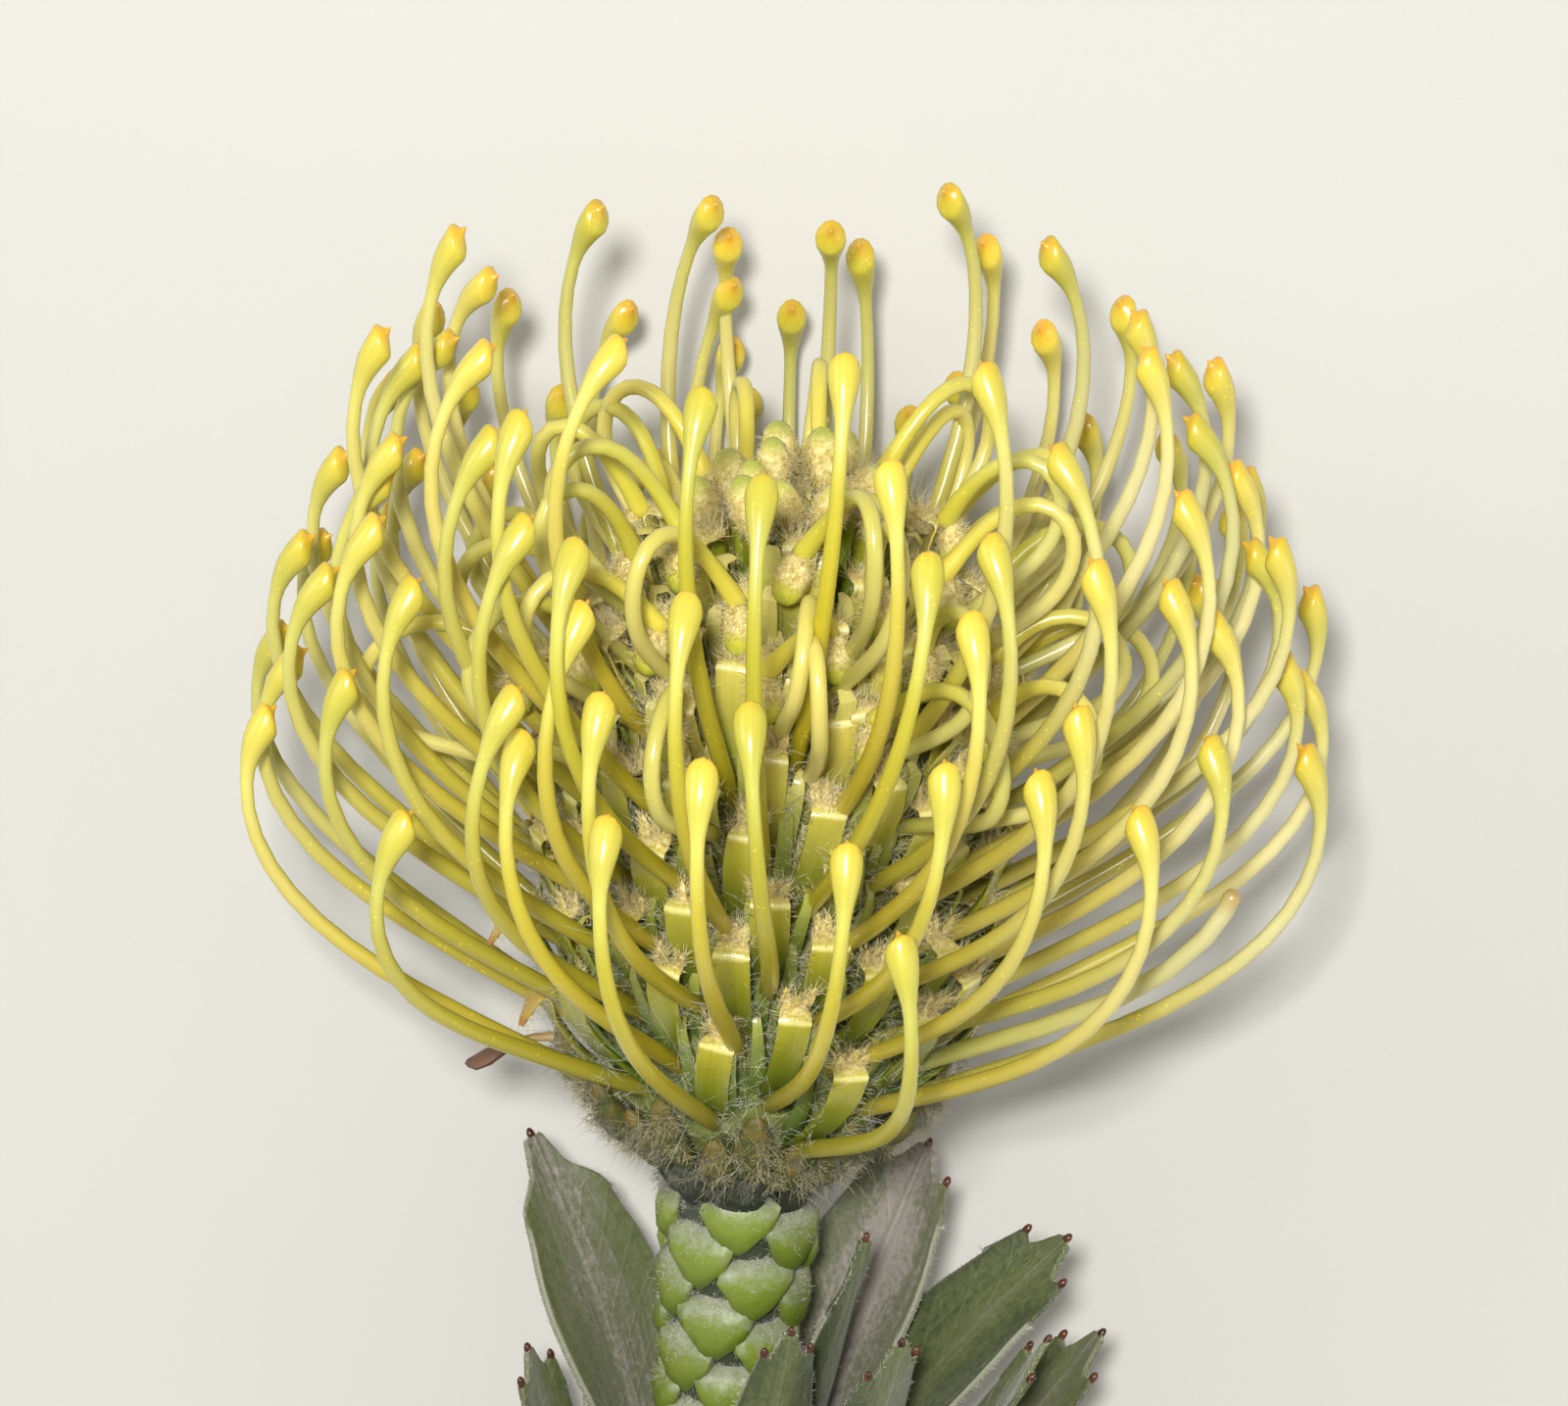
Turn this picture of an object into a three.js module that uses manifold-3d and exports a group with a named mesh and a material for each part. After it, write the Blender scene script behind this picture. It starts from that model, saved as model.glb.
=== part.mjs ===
// A cut pincushion flower lying on its side: a dome of curved yellow styles over a hairy green
// mass of florets, on a scaly stalk with toothed grey-green leaves. Millimetres, +Z up, the
// surface it lies on is z = 0 and the origin is at the middle of its footprint.
import * as THREE from "three";
import { mergeVertices } from "three/addons/utils/BufferGeometryUtils.js";
import Module from "manifold-3d";

const wasm = await Module();
wasm.setup();

// Placement: where the stalk meets the head, and how far the flower's axis rises towards -Y
const HEAD_BASE = new THREE.Vector3(0.8, 0, 28.7);
const AXIS_RISE = rad(17);
// Depth over which a style that would reach below the surface is bent up to lie on it
const PRESS = 2;

// Head: florets in one golden-angle spiral up a narrow cone, oldest and open at the bottom
const GOLDEN = rad(137.50776);
const SPIRAL_START = rad(20);
const OPEN = 104;
const LOOPS = 34;
const BUDS = 14;
const CONE_RADIUS = 9;
const CONE_TIP_RADIUS = 2.6;
const CONE_HEIGHT = 40;

// Styles: the stiff pins, each with a club at its end that narrows to a neck below it
const STYLE_LENGTH = 61;
const STYLE_RADIUS = 0.8;
const CLUB_RADIUS = 1.45;
const FLORET_LENGTH = 25;
const STRAP_WIDTH = 4.2;
const STRAP_THICKNESS = 1.1;
const LIMB_RADIUS = 1.7;
// The one style that has lost its club
const BROKEN_STYLE = 16;
// A three-sided bar is made this much wider than the round it stands for
const TRIANGLE_FILL = 1.3;

// Core of the head, height along the axis and radius: the mass of florets stands out of it
const CORE_PROFILE = [
  [0.15, 8.5],
  [2.5, 11],
  [9, 17.5],
  [17, 20.5],
  [30, 20.5],
  [41, 17],
  [50, 11],
  [56, 5],
  [58, 0],
];

// Collar of pointed bracts in two rows, radius and height of the points along a bract
const COLLAR = 13;
const UPPER_BRACT = [
  [9.5, 1.6],
  [14.8, 5.4],
  [18.6, 10],
  [21, 14.5],
];
const LOWER_BRACT = [
  [6.5, 0.9],
  [9.8, 1.5],
  [12.8, 4.4],
  [14.6, 7.6],
];
const BRACT_HALF_WIDTHS = [2.6, 3.4, 2.7, 0];
const BRACT_HALF_THICKNESSES = [0.8, 1.2, 1.0, 0];

// Stalk and stem below the head, heights measured down the axis
const STALK_RADIUS = 6.0;
const STALK_LENGTH = 25;
const STEM_TOP_RADIUS = 4.6;
const STEM_RADIUS = 4.0;
const STEM_LENGTH = 85.5;
// Clearance between two pieces that touch
const SEAT = 0.3;

// Plump scales on the stalk: height below the scale's top and height above the stalk
const SCALES = 27;
const SCALE_PITCH = 0.84;
const FIRST_SCALE = 1.6;
const SCALE_POINTS = [
  [6.4, -1.2],
  [4.4, 0.4],
  [1.4, 1.0],
  [0, 0.5],
];
const SCALE_HALF_WIDTHS = [1.1, 2.5, 3.3, 1.7];
const SCALE_HALF_THICKNESSES = [0.8, 1.6, 1.8, 0.8];

// Leaf blades: where the rows of points lie along the rib, how much of the full width each
// has, how far the blunt teeth of the tip reach as a share of the length, and how the blade cups
const LEAF_THICKNESS = 0.8;
const LEAF_STATIONS = [0, 0.16, 0.36, 0.58, 0.76, 0.91];
const LEAF_WIDTHS = [0.34, 0.5, 0.8, 1.0, 0.97, 0.68];
const LEAF_TEETH = [0.0, 0.07, 0.02, 0.1, 0.02, 0.07, 0.0];
const CUP = 0.22;
const SIDE_DROOP = 0.05;

// The large leaves, in degrees and millimetres: azimuth round the stem (0 is up, 90 to the
// right), height of the foot, radius and height of the tip, how far the blade bellies out on
// the way, its width, and the turn of the blade about its rib
const LEAVES = [
  [-118, -42, 20.5, -8.0, 4, 13.5, -22],
  [124, -41, 19.5, -4.5, 7, 14.0, 18],
  [93, -49, 29.0, -7.5, 6, 12.5, 36],
  [57, -44, 12.8, -7.0, 4, 6.5, 0],
  [18, -50, 17.0, -10.0, 7, 8.0, 0],
  [43, -56, 21.5, -10.5, 11, 12.0, 4],
  [70, -62, 29.0, -12, 13, 8.5, 20],
  [96, -67, 33.0, -18, 12, 11.0, 26],
  [-86, -60, 17.5, -22, 8, 9.5, -30],
  [-34, -66, 14.5, -27, 7, 10.5, 0],
  [-172, -51, 15.5, -9, 6, 11.5, 0],
  [-142, -62, 17.5, -23, 8, 10.5, 0],
  [152, -69, 17.0, -30, 7, 10.5, 0],
];

const COLOURS = {
  head: 0xb9b02e,
  stem: 0x6f8f3a,
  leaf: 0x7f8a6c,
};

function rad(degrees) {
  return (degrees * Math.PI) / 180;
}

function mix(a, b, t) {
  return a + (b - a) * t;
}

function clamp01(t) {
  return Math.min(Math.max(t, 0), 1);
}

// A fixed draw between -1 and 1 for floret i, a different one for each k
function sway(i, k) {
  const x = Math.sin(i * 12.9898 + k * 78.233) * 43758.5453;
  return 2 * (x - Math.floor(x)) - 1;
}

// The flower's own frame in the world: right of the face, up from the surface, along the axis
const RIGHT = new THREE.Vector3(-1, 0, 0);
const UP = new THREE.Vector3(0, Math.sin(AXIS_RISE), Math.cos(AXIS_RISE));
const AXIS = new THREE.Vector3(0, -Math.cos(AXIS_RISE), Math.sin(AXIS_RISE));

function place(right, up, along) {
  return HEAD_BASE.clone()
    .addScaledVector(RIGHT, right)
    .addScaledVector(UP, up)
    .addScaledVector(AXIS, along);
}

function placeRound(radius, azimuth, along) {
  return place(radius * Math.sin(azimuth), radius * Math.cos(azimuth), along);
}

function tangent(azimuth) {
  return new THREE.Vector3()
    .addScaledVector(RIGHT, Math.cos(azimuth))
    .addScaledVector(UP, -Math.sin(azimuth));
}

// Bends a line of points up so that a round of the given radius lies on the surface
function pressOnSurface(points, radius) {
  for (const p of points) {
    const height = p.z - radius;
    if (height < -PRESS) p.z = radius;
    else if (height < PRESS) p.z = radius + (height + PRESS) ** 2 / (4 * PRESS);
  }
  return points;
}

function closedGeometry(positions, triangles) {
  const geometry = new THREE.BufferGeometry();
  geometry.setAttribute("position", new THREE.Float32BufferAttribute(positions, 3));
  geometry.setIndex(triangles);
  return geometry;
}

// A closed tube along points: its section has the half width along side and the half
// thickness across it, a last half width of 0 ends it in a point
function sweep(points, side, halfWidths, halfThicknesses, sides, phase = 0) {
  const positions = [];
  const triangles = [];
  const last = points.length - 1;
  const pointed = halfWidths[last] === 0;
  const rings = pointed ? last : last + 1;
  for (let k = 0; k < rings; k++) {
    const along = points[Math.min(k + 1, last)].clone().sub(points[Math.max(k - 1, 0)]).normalize();
    const across = side.clone().addScaledVector(along, -side.dot(along)).normalize();
    const normal = along.clone().cross(across);
    for (let j = 0; j < sides; j++) {
      const angle = phase + (2 * Math.PI * j) / sides;
      const p = points[k]
        .clone()
        .addScaledVector(across, Math.cos(angle) * halfWidths[k])
        .addScaledVector(normal, Math.sin(angle) * halfThicknesses[k]);
      positions.push(p.x, p.y, Math.max(p.z, 0));
    }
  }
  for (let k = 0; k < rings - 1; k++) {
    for (let j = 0; j < sides; j++) {
      const a = k * sides + j;
      const b = k * sides + ((j + 1) % sides);
      triangles.push(a, b, b + sides, a, b + sides, a + sides);
    }
  }
  for (let j = 1; j < sides - 1; j++) triangles.push(0, j + 1, j);
  const top = (rings - 1) * sides;
  if (pointed) {
    const tip = points[last];
    positions.push(tip.x, tip.y, Math.max(tip.z, 0));
    for (let j = 0; j < sides; j++) triangles.push(top + j, top + ((j + 1) % sides), rings * sides);
  } else {
    for (let j = 1; j < sides - 1; j++) triangles.push(top, top + j, top + j + 1);
  }
  return closedGeometry(positions, triangles);
}

function solid(geometry) {
  const index = geometry.index.array;
  const positions = geometry.attributes.position.array;
  return new wasm.Manifold(
    new wasm.Mesh({
      numProp: 3,
      vertProperties: new Float32Array(positions),
      triVerts: new Uint32Array(index),
    }),
  );
}

// Joins all geometries into one solid, halves at a time
function fuse(geometries) {
  let solids = geometries.map(solid);
  while (solids.length > 1) {
    const next = [];
    for (let k = 0; k + 1 < solids.length; k += 2) next.push(solids[k].add(solids[k + 1]));
    if (solids.length % 2) next.push(solids[solids.length - 1]);
    solids = next;
  }
  const mesh = solids[0].getMesh();
  return largestPiece(closedGeometry(Array.from(mesh.vertProperties), Array.from(mesh.triVerts)));
}

// Keeps the one outer skin: sealed pockets and loose scraps left by the joining are dropped
function largestPiece(geometry) {
  const index = geometry.index.array;
  const owner = Array.from({ length: geometry.attributes.position.count }, (_, v) => v);
  const find = (v) => {
    while (owner[v] !== v) {
      owner[v] = owner[owner[v]];
      v = owner[v];
    }
    return v;
  };
  for (let t = 0; t < index.length; t += 3) {
    owner[find(index[t])] = find(index[t + 1]);
    owner[find(index[t + 1])] = find(index[t + 2]);
  }
  const counts = new Map();
  for (const v of index) counts.set(find(v), (counts.get(find(v)) ?? 0) + 1);
  const largest = [...counts.entries()].sort((a, b) => b[1] - a[1])[0][0];
  const kept = [];
  for (let t = 0; t < index.length; t += 3) {
    if (find(index[t]) === largest) kept.push(index[t], index[t + 1], index[t + 2]);
  }
  geometry.setIndex(kept);
  return mergeVertices(geometry.toNonIndexed(), 1e-5);
}

// Florets

function coneRadius(along) {
  return mix(CONE_RADIUS, CONE_TIP_RADIUS, clamp01(along / CONE_HEIGHT));
}

// Where floret i is rooted and how steeply it leaves the cone; age runs 0 to 1 in its group
function floret(i) {
  const azimuth = SPIRAL_START + i * GOLDEN;
  if (i < OPEN) {
    const age = (i + 0.5) / OPEN;
    const inner = clamp01((age - 0.8) / 0.2);
    const slope = mix(30, 40, age ** 1.2) + 12 * inner + 3 * sway(i, 1);
    return { azimuth, along: mix(3, 30, age ** 0.95), slope, age, inner };
  }
  if (i < OPEN + LOOPS) {
    const age = (i - OPEN + 0.5) / LOOPS;
    return { azimuth, along: mix(25, 37, age), slope: mix(48, 72, age) + 4 * sway(i, 1), age };
  }
  const age = (i - OPEN - LOOPS + 0.5) / BUDS;
  return { azimuth, along: mix(37.5, 39, age), slope: mix(74, 89, age), age };
}

// A line that leaves the cone at one slope and bends to another, the more so towards its end
function bentLine(root, length, endSlope, lateness, turn, stations) {
  const steps = 40;
  const points = [];
  let radius = coneRadius(root.along) - 1;
  let along = root.along;
  for (let k = 0; k <= steps; k++) {
    const x = k / steps;
    points.push(placeRound(radius, root.azimuth + turn * x * x, along));
    const slope = rad(root.slope + (endSlope - root.slope) * (x + 0.5 / steps) ** lateness);
    radius += (length / steps) * Math.cos(slope);
    along += (length / steps) * Math.sin(slope);
  }
  return stations.map((x) => {
    const k = Math.min(Math.floor(x * steps), steps - 1);
    return points[k].clone().lerp(points[k + 1], x * steps - k);
  });
}

// Open style: straight out of its floret, then curved up and in, ending in a pointed club
const STYLE_STATIONS = [0.12, 0.5, 0.66, 0.77, 0.87, 0.955, 1];
const STYLE_RADII = [1.15, 1.15, 1.1, 1.05, 0.95, 1.8, 0].map((r) => r * STYLE_RADIUS);

function openStyle(i) {
  const root = floret(i);
  const length = STYLE_LENGTH + 1.5 * root.age - 3 * root.inner + 2 * sway(i, 3);
  const endSlope = mix(128, 124, root.age) + 12 * sway(i, 2);
  const lateness = mix(4.8, 3.4, root.age) + 0.6 * sway(i, 4);
  const points = bentLine(root, length, endSlope, lateness, rad(8) * sway(i, 5), STYLE_STATIONS);
  pressOnSurface(points.slice(0, -2), STYLE_RADIUS);
  pressOnSurface(points.slice(-2), CLUB_RADIUS);
  const radii = STYLE_RADII.map((r) => r * TRIANGLE_FILL);
  const kept = i === BROKEN_STYLE ? points.slice(0, -2) : points;
  return sweep(kept, tangent(root.azimuth), radii, radii, 3, Math.PI / 2);
}

// Looped style: bows out through the slit in its floret while its tip is still held above
const LOOP_STATIONS = [0.25, 0.45, 0.58, 0.68, 0.77, 0.87, 1];

function loopedStyle(i) {
  const root = floret(i);
  const slope = rad(root.slope);
  const held = FLORET_LENGTH + 1.5 * sway(i, 2);
  const rise = 22 + 4 * sway(i, 3);
  const bow = mix(22, 15, root.age) + 4 * sway(i, 4);
  const lean = 5 * sway(i, 5);
  const curve = new THREE.CubicBezierCurve(
    new THREE.Vector2(0, 0),
    new THREE.Vector2(20, 6),
    new THREE.Vector2(held + rise, bow),
    new THREE.Vector2(held, 0),
  );
  const points = LOOP_STATIONS.map((x) => {
    const { x: up, y: out } = curve.getPoint(x);
    const radius = coneRadius(root.along) - 1 + up * Math.cos(slope) + out * Math.sin(slope);
    const along = root.along + up * Math.sin(slope) - out * Math.cos(slope);
    return placeRound(radius, root.azimuth, along)
      .addScaledVector(tangent(root.azimuth), 3 * lean * x * (1 - x));
  });
  const radii = points.map(() => STYLE_RADIUS * TRIANGLE_FILL);
  return sweep(points, tangent(root.azimuth), radii, radii, 3, Math.PI / 2);
}

// Split floret of an open style: a strap that lies up the mass and folds over at its top
const STRAP_FILL = 1.15;

function foldedStrap(i) {
  const root = floret(i);
  const length = mix(18, 25, root.age ** 0.6) + 1.5 * sway(i, 6);
  const line = { ...root, slope: root.slope - 1 };
  const points = bentLine(line, length, root.slope + 33, 2, 0, [0.5, 0.86, 1]);
  const inward = placeRound(-1, root.azimuth, 0).sub(HEAD_BASE);
  points.push(points[2].clone().addScaledVector(inward, 2.6).addScaledVector(AXIS, 0.6));
  const half = (STRAP_WIDTH / 2) * STRAP_FILL;
  const widths = [half, half, half, half * 0.8];
  const thicknesses = points.map(() => STRAP_THICKNESS * STRAP_FILL);
  return sweep(points, tangent(root.azimuth), widths, thicknesses, 3, Math.PI / 2);
}

// Closed end of a floret, a hairy bud that holds a style's tip
function limb(i) {
  const root = floret(i);
  const length = FLORET_LENGTH + 1.5 * sway(i, 2);
  const points = bentLine(root, length + 2.5, root.slope, 1, 0, [0.45, 0.78, 0.92, 1]);
  const radii = [0.75, 0.8, 1.1, 0].map((r) => r * LIMB_RADIUS * 1.15);
  return sweep(points, tangent(root.azimuth), radii, radii, 4);
}

// Pointed bract of the collar under the head, the second row longer and between the first
function bract(k) {
  const upper = k < COLLAR;
  const azimuth = (2 * Math.PI * (k + (upper ? 0 : 0.5) + 0.2 * sway(k, 8))) / COLLAR;
  const points = (upper ? UPPER_BRACT : LOWER_BRACT).map(([radius, along], row) =>
    placeRound(radius, azimuth, along + (row > 1 ? sway(k, 9) : 0)),
  );
  return sweep(points, tangent(azimuth), BRACT_HALF_WIDTHS, BRACT_HALF_THICKNESSES, 4);
}

function core() {
  const points = CORE_PROFILE.map(([along]) => place(0, 0, along));
  const radii = CORE_PROFILE.map(([, radius]) => radius);
  return sweep(points, RIGHT, radii, radii, 14);
}

function flowerHead() {
  const pieces = [core()];
  for (let k = 0; k < 2 * COLLAR; k++) pieces.push(bract(k));
  for (let i = 0; i < OPEN; i++) {
    if (i % 4 !== 3) pieces.push(openStyle(i));
    if (i < 24 || i % 2 === 0) pieces.push(foldedStrap(i));
  }
  for (let i = OPEN; i < OPEN + LOOPS; i++) {
    if (i % 3 !== 2) pieces.push(loopedStyle(i), limb(i));
  }
  for (let i = OPEN + LOOPS; i < OPEN + LOOPS + BUDS; i++) pieces.push(limb(i));
  return fuse(pieces);
}

// Stem

function stemRadius(along) {
  if (along > -STALK_LENGTH) return mix(STALK_RADIUS, STEM_TOP_RADIUS, -along / STALK_LENGTH);
  return mix(STEM_TOP_RADIUS, STEM_RADIUS, clamp01((-along - STALK_LENGTH) / 20));
}

// Scale k of the stalk's spiral: widest near its top, its lower end sunk in the stalk
function stalkScale(k) {
  const azimuth = k * GOLDEN;
  const top = -FIRST_SCALE - k * SCALE_PITCH;
  const points = SCALE_POINTS.map(([below, out]) =>
    placeRound(stemRadius(top - 5) + out, azimuth, top - below),
  );
  const side = tangent(azimuth);
  return sweep(points, side, SCALE_HALF_WIDTHS, SCALE_HALF_THICKNESSES, 5, Math.PI / 2);
}

function stem() {
  const heights = [-SEAT, -12, -STALK_LENGTH, -45, -66, -STEM_LENGTH];
  const points = heights.map((along) => place(0, 0, along));
  const radii = heights.map(stemRadius);
  const pieces = [sweep(points, RIGHT, radii, radii, 14)];
  for (let k = 0; k < SCALES; k++) pieces.push(stalkScale(k));
  return fuse(pieces);
}

// Leaf: an arched blade, widest past its middle, with three blunt teeth at its tip
function leaf([azimuthDegrees, foot, tipRadius, tipHeight, belly, width, turnDegrees]) {
  const azimuth = rad(azimuthDegrees);
  const columns = LEAF_TEETH.length;
  const start = stemRadius(foot) + SEAT + LEAF_THICKNESS / 2 + CUP * LEAF_WIDTHS[0] * width * 0.5;
  const middle = mix(foot, tipHeight, 0.5);
  const rib = new THREE.QuadraticBezierCurve3(
    placeRound(start, azimuth, foot),
    placeRound(start + belly, azimuth, middle),
    placeRound(tipRadius, azimuth, tipHeight),
  );
  const length = rib.getLength();
  const rows = LEAF_STATIONS.map((x, row) => {
    const forward = rib.getTangent(x);
    const across = tangent(azimuth).applyAxisAngle(forward, rad(turnDegrees) * x);
    const normal = across.clone().cross(forward).normalize();
    return { centre: rib.getPoint(x), forward, across, normal, half: (LEAF_WIDTHS[row] * width) / 2 };
  });
  const positions = [];
  for (const face of [1, -1]) {
    rows.forEach((row, r) => {
      for (let c = 0; c < columns; c++) {
        const s = (2 * c) / (columns - 1) - 1;
        const reach = r === rows.length - 1 ? LEAF_TEETH[c] * length : 0;
        const p = row.centre
          .clone()
          .addScaledVector(row.across, s * row.half)
          .addScaledVector(row.normal, (face * LEAF_THICKNESS) / 2 - CUP * s * s * row.half)
          .addScaledVector(row.forward, reach - SIDE_DROOP * length * s * s * (r / rows.length));
        positions.push(p.x, p.y, p.z);
      }
    });
  }
  return closedGeometry(positions, slabTriangles(rows.length, columns));
}

// Triangles of a slab of two like grids of points, the upper first, with walls round them
function slabTriangles(rows, columns) {
  const under = rows * columns;
  const triangles = [];
  for (let r = 0; r < rows - 1; r++) {
    for (let c = 0; c < columns - 1; c++) {
      const a = r * columns + c;
      const d = a + columns;
      triangles.push(a, a + 1, d + 1, a, d + 1, d);
      triangles.push(under + a, under + d + 1, under + a + 1, under + a, under + d, under + d + 1);
    }
  }
  const border = [];
  for (let c = 0; c < columns - 1; c++) border.push(c);
  for (let r = 0; r < rows - 1; r++) border.push(r * columns + columns - 1);
  for (let c = columns - 1; c > 0; c--) border.push((rows - 1) * columns + c);
  for (let r = rows - 1; r > 0; r--) border.push(r * columns);
  border.forEach((a, k) => {
    const b = border[(k + 1) % border.length];
    triangles.push(a, under + a, b, b, under + a, under + b);
  });
  return triangles;
}

function named(name, geometry, colour, roughness) {
  geometry.computeVertexNormals();
  const material = new THREE.MeshStandardMaterial({ color: colour, roughness, metalness: 0 });
  const mesh = new THREE.Mesh(geometry, material);
  mesh.name = name;
  return mesh;
}

const flower = new THREE.Group();
flower.add(named("flower_head", flowerHead(), COLOURS.head, 0.4));
flower.add(named("stem", stem(), COLOURS.stem, 0.6));
LEAVES.forEach((values, k) => {
  const name = `leaf_${String(k + 1).padStart(2, "0")}`;
  flower.add(named(name, leaf(values), COLOURS.leaf, 0.7));
});

export default flower;
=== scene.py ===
import math

import bpy
import numpy as np
from mathutils import Matrix, Vector


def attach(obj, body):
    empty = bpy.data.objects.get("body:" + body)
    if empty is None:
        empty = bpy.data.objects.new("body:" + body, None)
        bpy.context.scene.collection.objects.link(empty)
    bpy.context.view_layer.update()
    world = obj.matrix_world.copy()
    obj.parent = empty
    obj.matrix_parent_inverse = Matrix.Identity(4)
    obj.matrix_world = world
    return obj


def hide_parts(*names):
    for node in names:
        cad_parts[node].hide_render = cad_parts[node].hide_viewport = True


# A cut pincushion flower lying on its side, seen from above. Its pieces follow in the order in
# which they grow: stem, stalk, leaves, the cone of the head, and the florets that cover it.
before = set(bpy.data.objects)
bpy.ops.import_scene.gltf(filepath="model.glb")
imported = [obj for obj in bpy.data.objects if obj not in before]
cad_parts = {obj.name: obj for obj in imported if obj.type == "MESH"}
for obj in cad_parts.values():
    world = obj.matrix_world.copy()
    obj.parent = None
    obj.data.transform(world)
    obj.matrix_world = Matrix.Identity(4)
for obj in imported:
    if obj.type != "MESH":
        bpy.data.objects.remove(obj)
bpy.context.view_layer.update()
bpy.ops.object.select_all(action="DESELECT")


# Stem
# Green wood under a thin bark with grey felt, cut square across with a blade. It is drawn up as one
# round bar, a little thicker at each leaf joint, and swells into the stalk under the bloom.
MM = 0.001
HEAD_BASE = np.array((0.8, 0.0, 28.7))
AXIS_RISE = math.radians(17)
RIGHT = np.array((-1.0, 0.0, 0.0))
UP = np.array((0.0, math.sin(AXIS_RISE), math.cos(AXIS_RISE)))
AXIS = np.array((0.0, -math.cos(AXIS_RISE), math.sin(AXIS_RISE)))
STALK_RADIUS, STEM_TOP_RADIUS, STEM_RADIUS = 6.0, 4.6, 4.0
STALK_LENGTH, STEM_TAPER, STEM_LENGTH, SEAT = 25.0, 20, 85.5, 0.3
STEM_SIDES, LEAF_JOINTS, JOINT_SWELL, JOINT_REACH = 32, (42, 50, 57, 63, 69), 0.28, 1.6
CUT_BEVEL, HOLLOW_FADE = 0.35, 3
BARK_GREEN, BARK_PALE, BARK_BROWN, BARK_FELT = "#7C8C45", "#94A45C", "#7A6440", "#A5A58C"
CUT_WOOD, CUT_PITH, HOLLOW_SHADE = "#D9D3A6", "#B9B67E", "#2F3620"


def colour(value):
    """The linear colour of an sRGB hex value, or the linear grey of a number from 0 to 1."""
    if not isinstance(value, str):
        return (value, value, value, 1.0)
    parts = [int(value[k:k + 2], 16) / 255 for k in (1, 3, 5)]
    linear = [p / 12.92 if p <= 0.04045 else ((p + 0.055) / 1.055) ** 2.4 for p in parts]
    return (*linear, 1.0)


def add_node(material, kind, inputs=None, **settings):
    """Adds a shader node: its settings, then its inputs as numbers or as other nodes' outputs."""
    node = material.node_tree.nodes.new("ShaderNode" + kind)
    for name, value in settings.items():
        setattr(node, name, value)
    for name, value in (inputs or {}).items():
        if isinstance(value, bpy.types.NodeSocket):
            material.node_tree.links.new(value, node.inputs[name])
        else:
            node.inputs[name].default_value = value
    return node


def object_place(material):
    return add_node(material, "TexCoord").outputs["Object"]


def attribute(material, key):
    """A number that the points of a piece carry under that key."""
    return add_node(material, "Attribute", attribute_name=key).outputs["Fac"]


def noise(material, place, scale, detail, roughness=0.5):
    return add_node(material, "TexNoise", {"Vector": place, "Scale": scale, "Detail": detail,
                                           "Roughness": roughness}).outputs[0]


def grains(material, place, scale):
    """The distance to the nearest of many scattered grains, that many to the metre."""
    return add_node(material, "TexVoronoi", {"Vector": place, "Scale": scale}).outputs["Distance"]


def calculate(material, operation, *numbers):
    return add_node(material, "Math", dict(enumerate(numbers)), operation=operation).outputs[0]


def remap(material, value, source, target=(0, 1)):
    """Stretches a number from one range to another, and holds it within that."""
    return add_node(material, "MapRange", dict(enumerate((value, *source, *target)))).outputs[0]


def ramp(material, level, *stops):
    """Turns a number into a colour. A stop is a place from 0 to 1 and the colour there."""
    node = add_node(material, "ValToRGB", {"Fac": level})
    elements = node.color_ramp.elements
    elements.remove(elements[1])
    elements[0].position, elements[0].color = stops[0][0], colour(stops[0][1])
    for place, value in stops[1:]:
        elements.new(place).color = colour(value)
    return node.outputs[0]


def blend(material, share, under, over):
    """Lays a share of one colour, which may be a hex value, over another."""
    over = colour(over) if isinstance(over, str) else over
    return add_node(material, "Mix", {0: share, 6: under, 7: over}, data_type="RGBA").outputs[2]


def bump(material, height, strength, depth):
    """The slant of a surface that a height lifts by up to a depth in millimetres."""
    return add_node(material, "Bump", {"Height": height, "Strength": strength,
                                       "Distance": depth * MM}).outputs[0]


def new_material(name):
    material = bpy.data.materials.new(name)
    material.use_nodes = True
    material.node_tree.nodes.clear()
    return material


def finish_material(material, inputs):
    """Closes a material with its surface, which has those inputs."""
    shader = add_node(material, "BsdfPrincipled", inputs)
    add_node(material, "OutputMaterial", {"Surface": shader.outputs[0]})
    return material


def draw_up(sides, rings):
    """Draws a piece up +Z: a filled circle, then each ring extruded and resized to its height,
    half width and half thickness in millimetres. A last half width of 0 closes in a point."""
    height, wide, thick = rings[0]
    bpy.ops.object.select_all(action="DESELECT")
    bpy.ops.mesh.primitive_circle_add(
        vertices=sides, radius=MM, fill_type="NGON", location=(0, 0, height * MM))
    bpy.ops.object.mode_set(mode="EDIT")
    bpy.ops.transform.resize(value=(wide, thick, 1), center_override=(0, 0, height * MM))
    for next_height, next_wide, next_thick in rings[1:]:
        bpy.ops.mesh.extrude_region_move(
            TRANSFORM_OT_translate={"value": (0, 0, (next_height - height) * MM)})
        if next_wide == 0:
            bpy.ops.mesh.merge(type="CENTER")
            break
        bpy.ops.transform.resize(
            value=(next_wide / wide, next_thick / thick, 1),
            center_override=(0, 0, next_height * MM))
        height, wide, thick = next_height, next_wide, next_thick
    bpy.ops.mesh.select_all(action="SELECT")
    bpy.ops.mesh.normals_make_consistent(inside=False)
    bpy.ops.object.mode_set(mode="OBJECT")
    piece = bpy.context.object
    piece.data.transform(piece.matrix_world)
    piece.matrix_world = Matrix.Identity(4)
    return piece


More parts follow.
